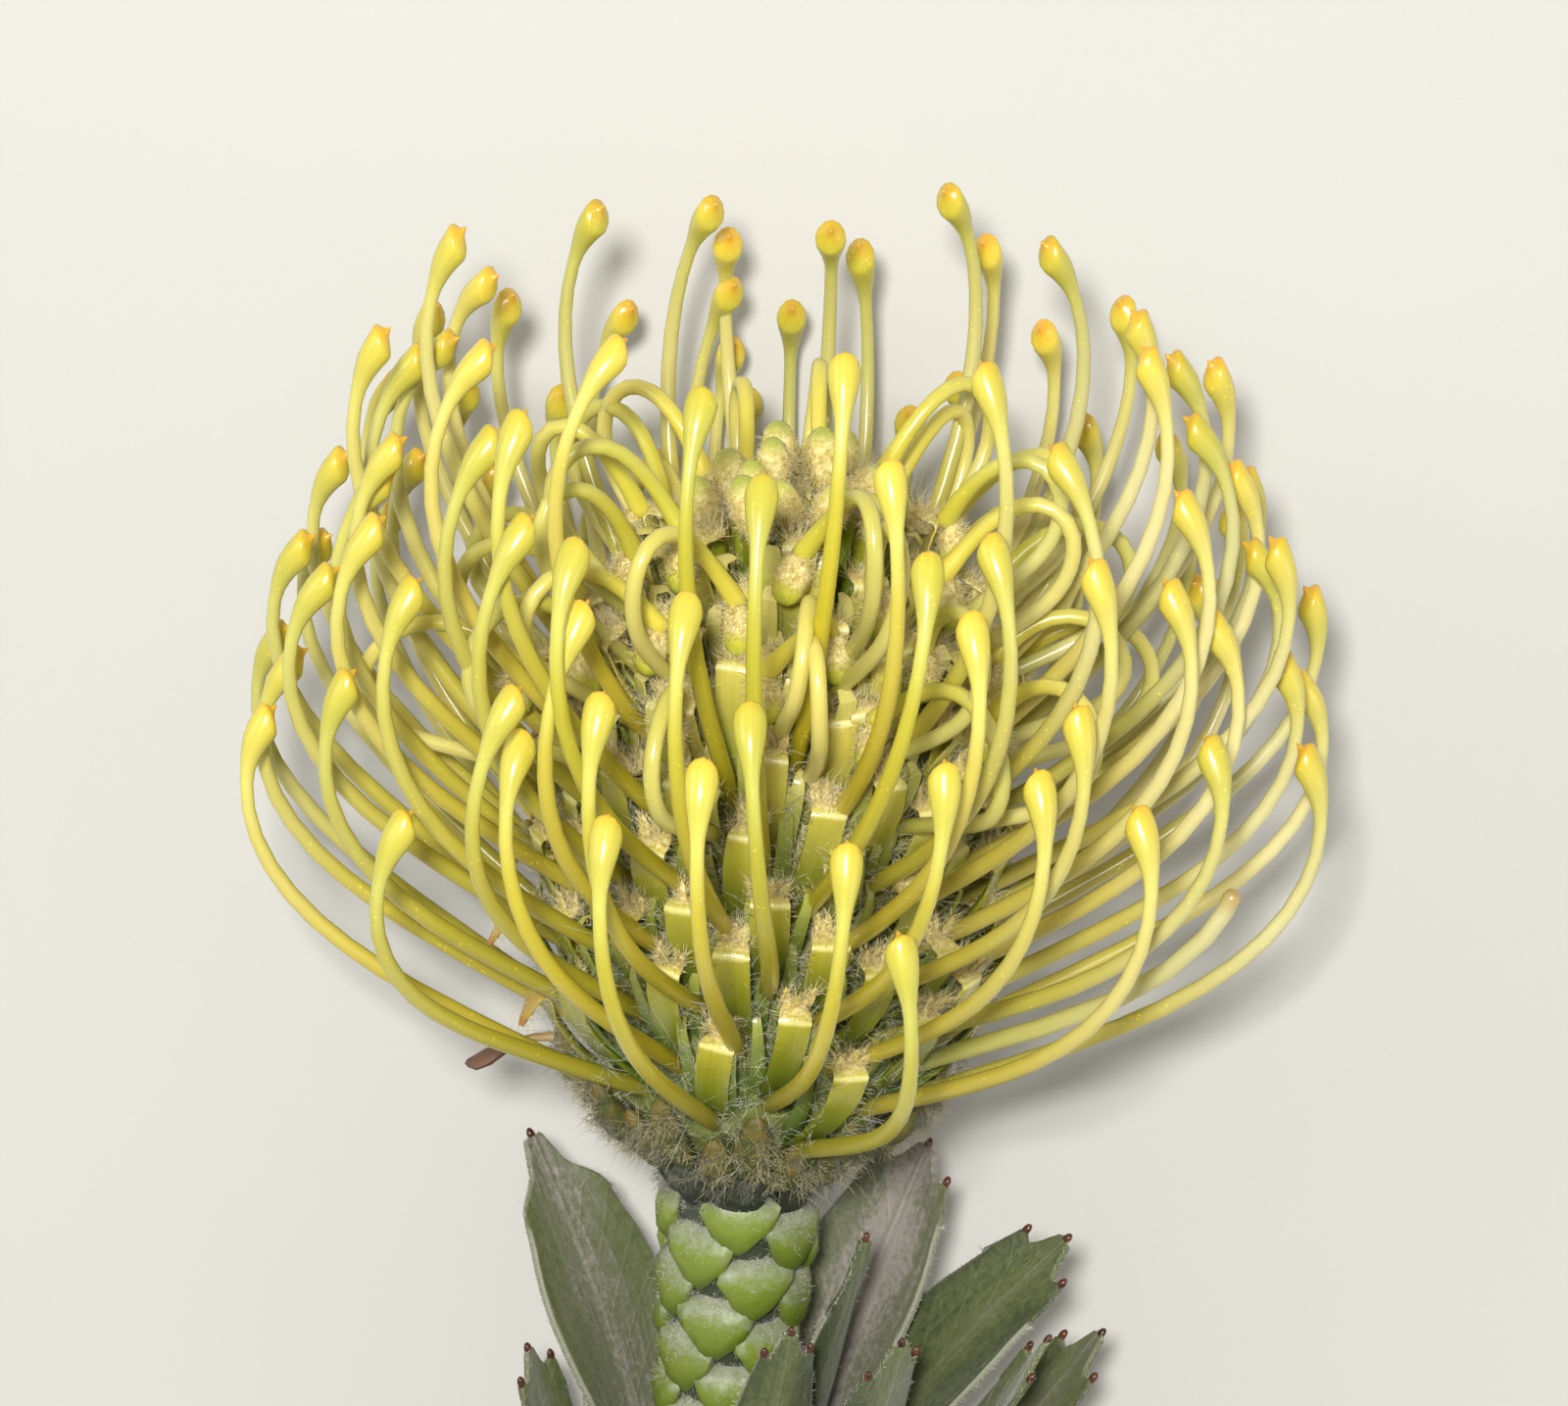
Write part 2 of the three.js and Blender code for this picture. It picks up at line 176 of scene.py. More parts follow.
def read_points(piece):
    """The points of a mesh in millimetres."""
    points = np.empty(len(piece.data.vertices) * 3)
    piece.data.vertices.foreach_get("co", points)
    return points.reshape(-1, 3) / MM


def take_pattern(piece):
    """Takes a piece that is to be repeated off the bench: its points, its faces, its length."""
    points = read_points(piece)
    faces = [tuple(face.vertices) for face in piece.data.polygons]
    bpy.data.objects.remove(piece)
    return {"points": points, "faces": faces, "length": points[:, 2].max()}


def unit(vectors):
    return vectors / np.linalg.norm(vectors, axis=-1, keepdims=True)


def place_round(radius, azimuth, along):
    """Points round the flower's axis: azimuth 0 is up from the surface, along runs to the tip."""
    radius, azimuth, along = np.broadcast_arrays(radius, azimuth, along)
    return (HEAD_BASE + np.multiply.outer(radius * np.sin(azimuth), RIGHT)
            + np.multiply.outer(radius * np.cos(azimuth), UP) + np.multiply.outer(along, AXIS))


def tangent(azimuth):
    return math.cos(azimuth) * RIGHT - math.sin(azimuth) * UP


def lay_along(points, line, side, marks=None):
    """Bends a straight pattern along a line of points. Its +X turns to side, and marks, if given,
    pair heights of the pattern with lengths along the line."""
    reach = np.concatenate(([0], np.cumsum(np.linalg.norm(np.diff(line, axis=0), axis=1))))
    forward = unit(np.gradient(line, reach, axis=0))
    across = unit(side - forward * np.sum(forward * side, axis=1, keepdims=True))
    normal = np.cross(forward, across)
    heights, lengths = marks or ((0, points[:, 2].max()), (0, reach[-1]))
    at = np.interp(points[:, 2], heights, lengths)
    centre, across, normal = (
        np.stack([np.interp(at, reach, part[:, k]) for k in range(3)], axis=1)
        for part in (line, across, normal))
    laid = centre + points[:, :1] * unit(across) + points[:, 1:2] * unit(normal)
    laid[:, 2] = np.maximum(laid[:, 2], 0)
    return laid


def make_piece(name, pattern, copies, values=None, crease=60):
    """One mesh of all copies of a pattern. Values are numbers of each point, or of each copy."""
    faces = pattern["faces"]
    count, points = len(pattern["points"]), np.concatenate(copies) * MM
    corners = np.concatenate([np.array(face) for face in faces])
    sizes = np.array([len(face) for face in faces])
    shifts = np.arange(len(copies)) * count
    mesh = bpy.data.meshes.new(name)
    mesh.vertices.add(len(points))
    mesh.vertices.foreach_set("co", points.ravel())
    mesh.loops.add(len(corners) * len(copies))
    mesh.loops.foreach_set("vertex_index", np.add.outer(shifts, corners).ravel())
    mesh.polygons.add(len(faces) * len(copies))
    starts = np.concatenate(([0], np.cumsum(np.tile(sizes, len(copies)))[:-1]))
    mesh.polygons.foreach_set("loop_start", starts)
    mesh.update(calc_edges=True)
    mesh.validate()
    for key, numbers in (values or {}).items():
        numbers = np.asarray(numbers, float)
        if len(numbers) == len(copies):
            numbers = np.repeat(numbers, count)
        elif len(numbers) == count:
            numbers = np.tile(numbers, len(copies))
        mesh.attributes.new(key, "FLOAT", "POINT").data.foreach_set("value", numbers)
    mesh.shade_smooth()
    mesh.set_sharp_from_angle(angle=math.radians(crease))
    piece = bpy.data.objects.new(name, mesh)
    bpy.context.scene.collection.objects.link(piece)
    return piece


def fit_out(piece, slot, *materials, replaces=()):
    """Gives a finished piece its materials and hangs it under the part's root. The slot is not used."""
    for material in materials:
        piece.data.materials.append(material)
    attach(piece, "root")
    if replaces:
        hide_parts(*replaces)


def stem_radius(along):
    return np.interp(-along, (0, STALK_LENGTH, STALK_LENGTH + STEM_TAPER),
                     (STALK_RADIUS, STEM_TOP_RADIUS, STEM_RADIUS))


# Bark: young green bark with a thin grey felt, satin, with brown flecks where leaves have fallen
bark = new_material("stem_green_bark")
spot = object_place(bark)
fleck = noise(bark, spot, 420, 4, 0.6)
green = ramp(bark, fleck, (0.3, BARK_BROWN), (0.42, BARK_GREEN), (0.75, BARK_PALE))
felted = ramp(bark, noise(bark, spot, 160, 6, 0.7), (0.45, 0), (0.7, 1))
paint = blend(bark, felted, green, BARK_FELT)
# Painted shade: the bark darkens to HOLLOW_SHADE in the hollows between the stalk's scales
paint = blend(bark, attribute(bark, "hollow"), paint, HOLLOW_SHADE)
fibre = noise(bark, spot, 1800, 3)
finish_material(bark, {
    "Base Color": paint, "Roughness": 0.62, "Normal": bump(bark, fibre, 0.5, 0.3),
    "Sheen Weight": 0.25, "Sheen Roughness": 0.5})

# Cut end: fresh moist wood, pale, mottled with a darker pith
cut_wood = new_material("fresh_cut_wood")
grain = noise(cut_wood, object_place(cut_wood), 900, 5)
finish_material(cut_wood, {
    "Base Color": ramp(cut_wood, grain, (0.35, CUT_PITH), (0.62, CUT_WOOD)),
    "Roughness": 0.45, "Normal": bump(cut_wood, grain, 0.4, 0.2)})

heights = np.linspace(-STEM_LENGTH, -SEAT, 44)
joint_distances = heights[:, None] + np.array(LEAF_JOINTS)
swell = JOINT_SWELL * np.exp(-(joint_distances / JOINT_REACH) ** 2).sum(1)
radii = stem_radius(heights) + swell
radii[0] -= CUT_BEVEL
rings = [(h + STEM_LENGTH, r, r) for h, r in zip(heights, radii)]
rings.insert(1, (CUT_BEVEL, radii[1], radii[1]))
pattern = take_pattern(draw_up(STEM_SIDES, rings))
axis_line = place_round(0, 0, np.linspace(-STEM_LENGTH, -SEAT, 60))
# The bark between the scales of the stalk is painted dark with the shade of those hollows, which wool
# also hides
past_stem = pattern["points"][:, 2] - STEM_LENGTH + STALK_LENGTH
hollow = np.clip((past_stem + HOLLOW_FADE) / HOLLOW_FADE, 0, 1)
stem = make_piece("stem_bark", pattern, [lay_along(pattern["points"], axis_line, RIGHT)],
                  {"hollow": hollow})
fit_out(stem, "stem", bark, cut_wood, replaces=("stem",))
for face in stem.data.polygons:
    if face.normal.dot(Vector(AXIS)) < -0.8:
        face.material_index = 1


# Stalk scales
# Where the bloom's stalk has shed its small leaves it carries plump green scales in a spiral. Each
# is a soft cushion with a rounded point below, and white wool covers its upper edge and the hollow.
GOLDEN = math.radians(137.50776)
SCALES, SCALE_PITCH, FIRST_SCALE = 27, 0.84, 1.6
# How far a scale stands off the stalk, and how far below its top, from its point upwards
SCALE_BOW = np.array((0.0, 0.55, 0.7, 0.3, -0.4))
SCALE_DROP = np.array((6.4, 4.6, 2.4, 0.9, -0.1))
# The hairs of a scale, and half the thickness of one
HAIRS_A_SCALE, STALK_HAIR_HALF = 680, 0.034
SCALE_GREEN, SCALE_PALE, SCALE_DEEP = "#6C7E26", "#7A8A2E", "#3D4A1C"
SCALE_GREY, SCALE_EDGE = "#7E8662", "#8A8D7C"
WOOL_WHITE, WOOL_GREY, WOOL_MAT, WOOL_CREAM = "#DEDDD2", "#A9A99A", "#989D88", "#C9C4A8"


def sway(i, k):
    """A fixed draw between -1 and 1 for part i, a different one for each k."""
    x = math.sin(i * 12.9898 + k * 78.233) * 43758.5453
    return 2 * (x - math.floor(x)) - 1


def share_draw(i, k):
    """A fixed draw between 0 and 1 for part i, a different one for each k."""
    return 0.5 + 0.5 * sway(i, k)


# Scale skin: soft young bark, waxy and a little translucent, greyed by wool towards its upper edge
scale_skin = new_material("plump_green_scale")
spot = object_place(scale_skin)
own, along = (attribute(scale_skin, key) for key in ("own", "along"))
blotch = noise(scale_skin, spot, 520, 5)
level = calculate(scale_skin, "ADD", blotch, -0.5)
level = calculate(scale_skin, "MULTIPLY_ADD", level, 0.55, along)
shade = ramp(scale_skin, level, (0.0, SCALE_DEEP), (0.2, SCALE_GREEN), (0.6, SCALE_PALE),
             (0.9, SCALE_GREY), (1.0, SCALE_EDGE))
value = remap(scale_skin, own, (0, 1), (0.74, 0.98))
shade = add_node(scale_skin, "HueSaturation", {"Value": value, "Color": shade}).outputs[0]
# Wool is matted over the upper half and thins out downwards in specks of a quarter of a millimetre
mat = noise(scale_skin, spot, 1300, 4, 0.7)
mat = calculate(scale_skin, "MULTIPLY_ADD", mat, 1.1, along)
cover = remap(scale_skin, mat, (1.16, 1.5), (0, 0.7))
finish_material(scale_skin, {
    "Base Color": blend(scale_skin, cover, shade, WOOL_MAT), "Roughness": 0.45,
    "Normal": bump(scale_skin, blotch, 0.5, 0.4),
    "Subsurface Weight": 0.12, "Subsurface Radius": (0.6, 1.0, 0.2), "Subsurface Scale": MM})

# One scale: a rounded point below, broad shoulders, and a thin upper edge
pattern = take_pattern(draw_up(14, [
    (0, 0.2, 0.25), (0.5, 0.65, 0.55), (1.3, 1.35, 0.95), (2.3, 2.15, 1.2), (3.4, 2.95, 1.25),
    (4.6, 3.5, 1.1), (5.6, 3.5, 0.85), (6.3, 2.9, 0.55), (6.8, 1.8, 0.3), (7.1, 0, 0)]))
# No two scales are alike: each is dented and swollen a little
plain_scale = pattern["points"]
copies, owns, scale_tops = [], [], []
for k in range(SCALES):
    azimuth, top = k * GOLDEN, -FIRST_SCALE - k * SCALE_PITCH
    foot = stem_radius(top - 5)
    line = place_round(foot + SCALE_BOW, azimuth, top - SCALE_DROP)
    dents = (0.12 * np.sin(1.7 * plain_scale[:, 2] + 5 * sway(k, 34))
             * np.cos(2.1 * plain_scale[:, 0] + 5 * sway(k, 35)))
    dented = plain_scale * np.column_stack((1 + 0.6 * dents, 1 + 1.5 * dents, np.ones(len(dents))))
    copies.append(lay_along(dented, line, tangent(azimuth)))
    owns.append(share_draw(k, 21))
    scale_tops.append((azimuth, top, foot))
scales = make_piece("stalk_scales", pattern, copies,
                    {"own": owns, "along": pattern["points"][:, 2] / pattern["length"]})
fit_out(scales, "stem", scale_skin, replaces=("stem",))

# Wool: fine white plant hair, each a soft tapering spike, drawn about twice as thick as the real
# hair so that it shows
HAIR_MIDDLE = 0.55
hair_pattern = take_pattern(draw_up(3, [(0, 1, 1), (HAIR_MIDDLE, 0.75, 0.75), (1, 0, 0)]))
wool_pattern = take_pattern(draw_up(3, [(0, 1, 1), (1, 0, 0)]))


def sow_hairs(name, slot, material, hairs, thickness, pattern=hair_pattern):
    """A piece of many hairs, each given as its root, direction, length, bend at the tip, and own
    number; thickness is that of half a hair."""
    roots, directions, lengths, bends, owns = (np.array(part) for part in zip(*hairs))
    points = pattern["points"]
    height = points[:, 2] / pattern["length"]
    directions = unit(directions)
    helper = np.where(np.abs(directions[:, 2:]) < 0.9, (0.0, 0.0, 1.0), (1.0, 0.0, 0.0))
    across = unit(np.cross(helper, directions))
    normal = np.cross(directions, across)
    reach = np.multiply.outer(lengths, height)[..., None]
    sag = np.multiply.outer(lengths, height ** 2)[..., None]
    laid = (roots[:, None] + directions[:, None] * reach + bends[:, None] * sag
            + thickness * (points[:, :1] * across[:, None] + points[:, 1:2] * normal[:, None]))
    laid[..., 2] = np.maximum(laid[..., 2], 0)
    piece = make_piece(name, pattern, list(laid), {"own": owns, "along": height}, crease=180)
    fit_out(piece, slot, material)


def hair_material(name, root_colour, tip_colour, other_colour):
    """Dry hair with a soft sheen, paler towards its tip, a little different from its like."""
    material = new_material(name)
    tint = ramp(material, attribute(material, "along"), (0.0, root_colour), (0.8, tip_colour))
    other = calculate(material, "POWER", attribute(material, "own"), 2.5)
    return finish_material(material, {
        "Base Color": blend(material, other, tint, other_colour), "Roughness": 0.42,
        "Sheen Weight": 0.3, "IOR": 1.5})


white_wool = hair_material("white_plant_wool", WOOL_GREY, WOOL_WHITE, WOOL_CREAM)
rng = np.random.default_rng(11)
hairs = []
for azimuth, top, foot in scale_tops:
    for _ in range(HAIRS_A_SCALE):
        edge = rng.uniform(-1, 1)
        turn = azimuth + edge * 3.1 / foot
        drop = abs(rng.normal(0, 1.1))
        bulge = np.interp(drop, (0, 1, 2.5), (0.1, 1.05, 1.75)) - 0.8 * edge ** 2
        hairs.append((place_round(foot + bulge, turn, top - drop - 0.9 * edge ** 2),
                      place_round(rng.uniform(0.1, 0.9), turn, rng.uniform(-0.2, 1.0)) - HEAD_BASE
                      + 0.35 * rng.normal(size=3),
                      rng.uniform(0.3, 0.85), 0.25 * rng.normal(size=3), rng.uniform()))
sow_hairs("stalk_wool", "stem", white_wool, hairs, STALK_HAIR_HALF, wool_pattern)


# Leaves
# Leathery grey-green leaves, thick as card, covered with short felt that turns mauve down the middle
# of the older ones. Each stands off the stem on a broad foot and ends in blunt teeth.
LEAF_THICKNESS, CUP, SIDE_DROOP, LEAF_GRID = 0.6, 0.22, 0.05, 30
TEETH_START, STATION_EASE = 0.9, 0.06
MARGIN_HAIRS, TIP_HAIRS, LEAF_HAIR_HALF = 170, 90, 0.038
LEAF_GREEN, LEAF_DARK, LEAF_GREY, LEAF_MAUVE = "#5A6239", "#3C4626", "#6C6F58", "#978F89"
LEAF_EDGE, LEAF_VEIN = "#8F907E", "#9A9F7C"
GLAND_DARK, GLAND_BROWN = "#2E1A12", "#5C3320"
LEAF_STATIONS = (0, 0.16, 0.36, 0.58, 0.76, 0.91)
LEAF_WIDTHS = (0.34, 0.5, 0.8, 1.0, 0.97, 0.68)
TOOTH_PLACES = (-1, -0.9, -0.8, -0.68, -0.54, -0.4, -0.2, 0.2, 0.4, 0.54, 0.68, 0.8, 0.9, 1)
TOOTH_REACH = (0, 0.035, 0.07, 0.07, 0.05, 0.062, 0.1, 0.1, 0.062, 0.05, 0.07, 0.07, 0.035, 0)
POINTED_REACH = (0, 0.03, 0.04, 0.05, 0.062, 0.08, 0.155, 0.155, 0.08, 0.062, 0.05, 0.04, 0.03, 0)
TOOTH_TIPS = (-0.72, 0.02, 0.72)
# azimuth, height of the foot, radius and height of the tip, belly, width, turn, teeth, greenness
LEAVES = (
    (-118, -42, 20.5, -8.0, 4, 13.5, -22, POINTED_REACH, 0.25),
    (124, -41, 19.5, -4.5, 7, 14.0, 18, TOOTH_REACH, -0.2),
    (93, -49, 29.0, -7.5, 6, 12.5, 36, TOOTH_REACH, 0.95),
    (57, -44, 12.8, -7.0, 4, 6.5, 0, POINTED_REACH, 1.25),
    (18, -50, 17.0, -10.0, 7, 8.0, 0, TOOTH_REACH, 1.1),
    (43, -56, 21.5, -10.5, 11, 12.0, 4, TOOTH_REACH, 1.0),
    (70, -62, 29.0, -12, 13, 8.5, 20, TOOTH_REACH, 0.7),
    (96, -67, 33.0, -18, 12, 11.0, 26, TOOTH_REACH, 0.6),
    (-86, -60, 17.5, -22, 8, 9.5, -30, TOOTH_REACH, 0.5),
    (-34, -66, 14.5, -27, 7, 10.5, 0, TOOTH_REACH, 0.7),
    (-172, -51, 15.5, -9, 6, 11.5, 0, TOOTH_REACH, 0.4),
    (-142, -62, 17.5, -23, 8, 10.5, 0, TOOTH_REACH, 0.3),
    (152, -69, 17.0, -30, 7, 10.5, 0, TOOTH_REACH, 0.5),
)

# Leaf skin: dull, like fine suede, because the felt scatters the light; veins stand up a little
leaf_skin = new_material("felted_leaf")
spot = object_place(leaf_skin)
side, along, own = (attribute(leaf_skin, key) for key in ("side", "along", "own"))
off_rib = calculate(leaf_skin, "ABSOLUTE", side)
cloud = noise(leaf_skin, spot, 150, 6, 0.65)
down = noise(leaf_skin, spot, 2600, 2)
# Fine lengthwise wrinkles about 0.7 mm apart, paler where the felt has rubbed
wrinkle_place = add_node(leaf_skin, "CombineXYZ", {0: side, 1: along, 2: own}).outputs[0]
wrinkle_place = add_node(leaf_skin, "Mapping", {"Vector": wrinkle_place, "Scale": (9, 2.2, 9)})
wrinkle = noise(leaf_skin, wrinkle_place.outputs[0], 1, 5)
# The felt is rubbed in specks of a quarter of a millimetre
speck = noise(leaf_skin, spot, 1500, 3, 0.7)
greyness = calculate(leaf_skin, "MULTIPLY_ADD", off_rib, -0.4, 0.05)
for part, weight in ((own, -0.45), (cloud, 0.5), (wrinkle, 0.5), (speck, 0.7)):
    greyness = calculate(leaf_skin, "MULTIPLY_ADD", part, weight, greyness)
skin = ramp(leaf_skin, greyness, (0.1, LEAF_DARK), (0.4, LEAF_GREEN), (0.68, LEAF_GREY),
            (0.92, LEAF_MAUVE))
# Side veins leave the midrib every 4 to 5 mm and run forwards
vein_place = calculate(leaf_skin, "MULTIPLY_ADD", off_rib, -0.24, along)
vein_wave = calculate(leaf_skin, "SINE", calculate(leaf_skin, "MULTIPLY", vein_place, 58))
vein = remap(leaf_skin, vein_wave, (0.86, 1.0), (0, 0.22))
midrib = remap(leaf_skin, off_rib, (0, 0.07), (0.7, 0))
ridges = calculate(leaf_skin, "MAXIMUM", vein, midrib)
skin = blend(leaf_skin, calculate(leaf_skin, "MULTIPLY", ridges, 0.16), skin, LEAF_VEIN)
skin = blend(leaf_skin, ramp(leaf_skin, off_rib, (0.955, 0), (1.0, 0.75)), skin, LEAF_EDGE)
felt_height = calculate(leaf_skin, "MULTIPLY_ADD", down, 0.6, ridges)
felt_height = calculate(leaf_skin, "MULTIPLY_ADD", wrinkle, 1.2, felt_height)
finish_material(leaf_skin, {
    "Base Color": skin, "Roughness": 0.58, "Normal": bump(leaf_skin, felt_height, 0.55, 0.25),
    "Sheen Weight": 0.3, "Sheen Roughness": 0.4})

# Gland: a hard drop of dark red-brown, shiny as if varnished
gland_skin = new_material("shiny_brown_gland")
cloud = noise(gland_skin, object_place(gland_skin), 1400, 2)
finish_material(gland_skin, {
    "Base Color": ramp(gland_skin, cloud, (0.35, GLAND_DARK), (0.6, GLAND_BROWN)),
    "Roughness": 0.2})


def leaf_points(values, side, length_share):
    """The points of a leaf of those sizes: side runs -1 to 1 across, length_share 0 to 1 along,
    where the last tenth draws out the teeth."""
    azimuth, foot, tip_radius, tip_height, belly, width, turn, teeth, _ = values
    azimuth = math.radians(azimuth)
    start = stem_radius(foot) + SEAT + 0.4 + CUP * LEAF_WIDTHS[0] * width * 0.5
    corners = [place_round(start, azimuth, foot),
               place_round(start + belly, azimuth, (foot + tip_height) / 2),
               place_round(tip_radius, azimuth, tip_height)]

    def rib_at(x):
        x = np.asarray(x, float)[:, None]
        point = (1 - x) ** 2 * corners[0] + 2 * x * (1 - x) * corners[1] + x ** 2 * corners[2]
        heading = 2 * (1 - x) * (corners[1] - corners[0]) + 2 * x * (corners[2] - corners[1])
        return point, unit(heading)

    fine, _ = rib_at(np.linspace(0, 1, 100))
    length = np.linalg.norm(np.diff(fine, axis=0), axis=1).sum()
    x = np.minimum(length_share / TEETH_START, 1) * LEAF_STATIONS[-1]
    tooth = np.clip((length_share - TEETH_START) / (1 - TEETH_START), 0, 1)
    centre, forward = rib_at(x)
    across = np.broadcast_to(tangent(azimuth), forward.shape)
    angle = (np.radians(turn) * x)[:, None]
    across = (across * np.cos(angle) + np.cross(forward, across) * np.sin(angle)
              + forward * np.sum(forward * across, axis=1, keepdims=True) * (1 - np.cos(angle)))
    normal = unit(np.cross(across, forward))
    # The outline is eased between the stations so that the margin runs in one smooth curve
    half = sum(np.interp(np.clip(x + shift, 0, LEAF_STATIONS[-1]), LEAF_STATIONS, LEAF_WIDTHS)
               for shift in (-STATION_EASE, 0, STATION_EASE)) * width / 6
    reach = tooth * np.interp(side, TOOTH_PLACES, teeth) * length
    droop = SIDE_DROOP * length * side ** 2 * np.interp(x, LEAF_STATIONS, np.arange(6) / 6)
    wave = 0.2 * np.sin(9 * x + 3 * side + azimuth) * np.abs(side) - 0.25 * tooth * np.cos(
        5 * side + azimuth)
    points = (centre + across * (side * half)[:, None]
              + normal * (wave - CUP * side ** 2 * half)[:, None]
              + forward * (reach - droop)[:, None])
    return points, normal, forward, across


bpy.ops.mesh.primitive_grid_add(x_subdivisions=LEAF_GRID, y_subdivisions=LEAF_GRID, size=2)
sheet = bpy.context.object
sheet_points = read_points(sheet) * MM
sheet_faces = [tuple(face.vertices)[::-1] for face in sheet.data.polygons]
bpy.data.objects.remove(sheet)
# Rows lie closer together where the teeth are drawn out
side, share = sheet_points[:, 0], np.interp((sheet_points[:, 1] + 1) / 2, (0, 0.7, 1),
                                            (0, TEETH_START, 1))
edge_wool = hair_material("leaf_margin_wool", "#C9C7B6", "#E6E4D8", "#B0AC94")
gland_pattern = take_pattern(draw_up(10, [
    (0, 0.22, 0.2), (0.2, 0.34, 0.3), (0.45, 0.4, 0.34), (0.7, 0.34, 0.3), (0.9, 0.2, 0.18),
    (0.98, 0, 0)]))
# Short wool stands along the margin and between the teeth
margin = np.linspace(0.05, 1, MARGIN_HAIRS)
edge_share = np.concatenate((margin, np.ones(TIP_HAIRS), margin[::-1]))
edge_side = np.concatenate((-np.ones(MARGIN_HAIRS), np.linspace(-1, 1, TIP_HAIRS),
                            np.ones(MARGIN_HAIRS)))
glands = []
rng = np.random.default_rng(5)
for k, values in enumerate(LEAVES):
    points = leaf_points(values, side, share)[0]
    teeth, greenness = values[-2:]
    leaf = make_piece(f"leaf_blade_{k + 1:02d}", {"points": points, "faces": sheet_faces}, [points],
                      {"side": side, "along": share, "own": np.full(len(points), greenness)})
    bpy.ops.object.select_all(action="DESELECT")
    bpy.context.view_layer.objects.active = leaf
    leaf.select_set(True)
    thicken = leaf.modifiers.new("thickness", "SOLIDIFY")
    thicken.thickness, thicken.offset = LEAF_THICKNESS * MM, 0
    bpy.ops.object.modifier_apply(modifier="thickness")
    fit_out(leaf, "leaf", leaf_skin, replaces=(f"leaf_{k + 1:02d}",))
    # A gland sits on the tip of each tooth
    tips = np.array((0.0,) if teeth is POINTED_REACH else TOOTH_TIPS)
    tip_points, _, tip_forward, tip_across = leaf_points(values, tips, np.ones(len(tips)))
    for tip, heading, span in zip(tip_points, tip_forward, tip_across):
        line = tip + heading * np.linspace(-0.35, 0.85, 5)[:, None]
        glands.append(lay_along(gland_pattern["points"], line, span))
    roots, normal, forward, across = leaf_points(values, edge_side, edge_share)
    outward = np.where((edge_share < 1)[:, None], across * edge_side[:, None] + 0.5 * forward, forward)
    hairs = [(root, way + rise * rng.normal(0, 0.4) + 0.3 * rng.normal(size=3),
              rng.uniform(0.3, 0.75), 0.3 * rng.normal(size=3), rng.uniform())
             for root, way, rise in zip(roots, outward, normal)]
    sow_hairs(f"leaf_wool_{k + 1:02d}", "leaf", edge_wool, hairs, LEAF_HAIR_HALF, wool_pattern)
fit_out(make_piece("leaf_glands", gland_pattern, glands, crease=180), "leaf", gland_skin)


# Cone of the head
# The woody cone that the florets grow from is never seen. Between the florets only their crowded
# green feet show, so the cone is one lumpy green body well inside the tops of the florets.
CORE_SIDES, LUMP_DEPTH = 48, 0.03
# height and radius, from the foot to the tip
CORE_PROFILE = ((0.15, 8.3), (2.5, 10.0), (7, 12.6), (14, 14.3), (26, 14.6), (36, 12.4),
                (45, 8.4), (50, 4.6), (52, 0))
DEPTH_GREEN, DEPTH_DARK, DEPTH_PALE = "#56642A", "#323C18", "#7E8642"
DOME_CREAM = "#B9B46E"


def add_to_bloom(name, pattern, copies, values, material, crease=60):
    """A finished piece of the bloom: all copies of a pattern, in one material."""
    piece = make_piece(name, pattern, copies, values, crease)
    fit_out(piece, "bloom", material, replaces=("flower_head",))


# Floret feet: soft green tissue in deep shade, ribbed by the ribbons that crowd there
depths = new_material("crowded_floret_feet")
spot = object_place(depths)
feet = grains(depths, spot, 420)
level = calculate(depths, "MULTIPLY_ADD", feet, 0.6, noise(depths, spot, 240, 5))
shade = ramp(depths, level, (0.4, DEPTH_DARK), (0.7, DEPTH_GREEN), (1.0, DEPTH_PALE))
paler = remap(depths, attribute(depths, "along"), (0.35, 0.7), (0, 0.75))
finish_material(depths, {
    "Base Color": blend(depths, paler, shade, DOME_CREAM), "Roughness": 0.7,
    "Normal": bump(depths, feet, 0.8, 0.8)})

pattern = take_pattern(draw_up(CORE_SIDES, [(along - CORE_PROFILE[0][0], radius, radius)
                                            for along, radius in CORE_PROFILE]))
core = pattern["points"]
core_angles = np.arctan2(core[:, 1], core[:, 0])
lumps = 1 + LUMP_DEPTH * np.sin(core[:, 2] * 1.9) * np.sin(9 * core_angles)
core[:, :2] *= lumps[:, None]
core_line = place_round(0, 0, np.linspace(CORE_PROFILE[0][0], CORE_PROFILE[-1][0], 60))
add_to_bloom("head_cone", pattern, [lay_along(core, core_line, RIGHT)],
             {"along": core[:, 2] / core[:, 2].max()}, depths)


# Collar of bracts
# Grey-green pointed bracts lie against the neck, and above them a ragged rim of shorter, golden-haired
# ones holds the bloom's underside. Short stiff hair stands out in tufts all round the rim. The neck's
# bracts and hair are painted near black with painted shade, and the rim is partly darkened with it.
COLLAR = 13
BURSTS, HAIRS_A_BURST, RIM_HAIR_HALF, NECK_HAIR_HALF = (7, 9, 13), 24, 0.028, 0.024
# Rim bracts: their own dark olive, darkened further with painted shade
BRACT_GREEN, BRACT_BROWN, BRACT_GOLD = "#26320F", "#6A5C26", "#424C1C"
# The neck colours are painted shade: near black for the shade that the bloom casts on its neck
NECK_SHADED_GREEN, NECK_SHADE_DARK, NECK_SHADED_EDGE = "#262C1C", "#10140C", "#4C4F42"


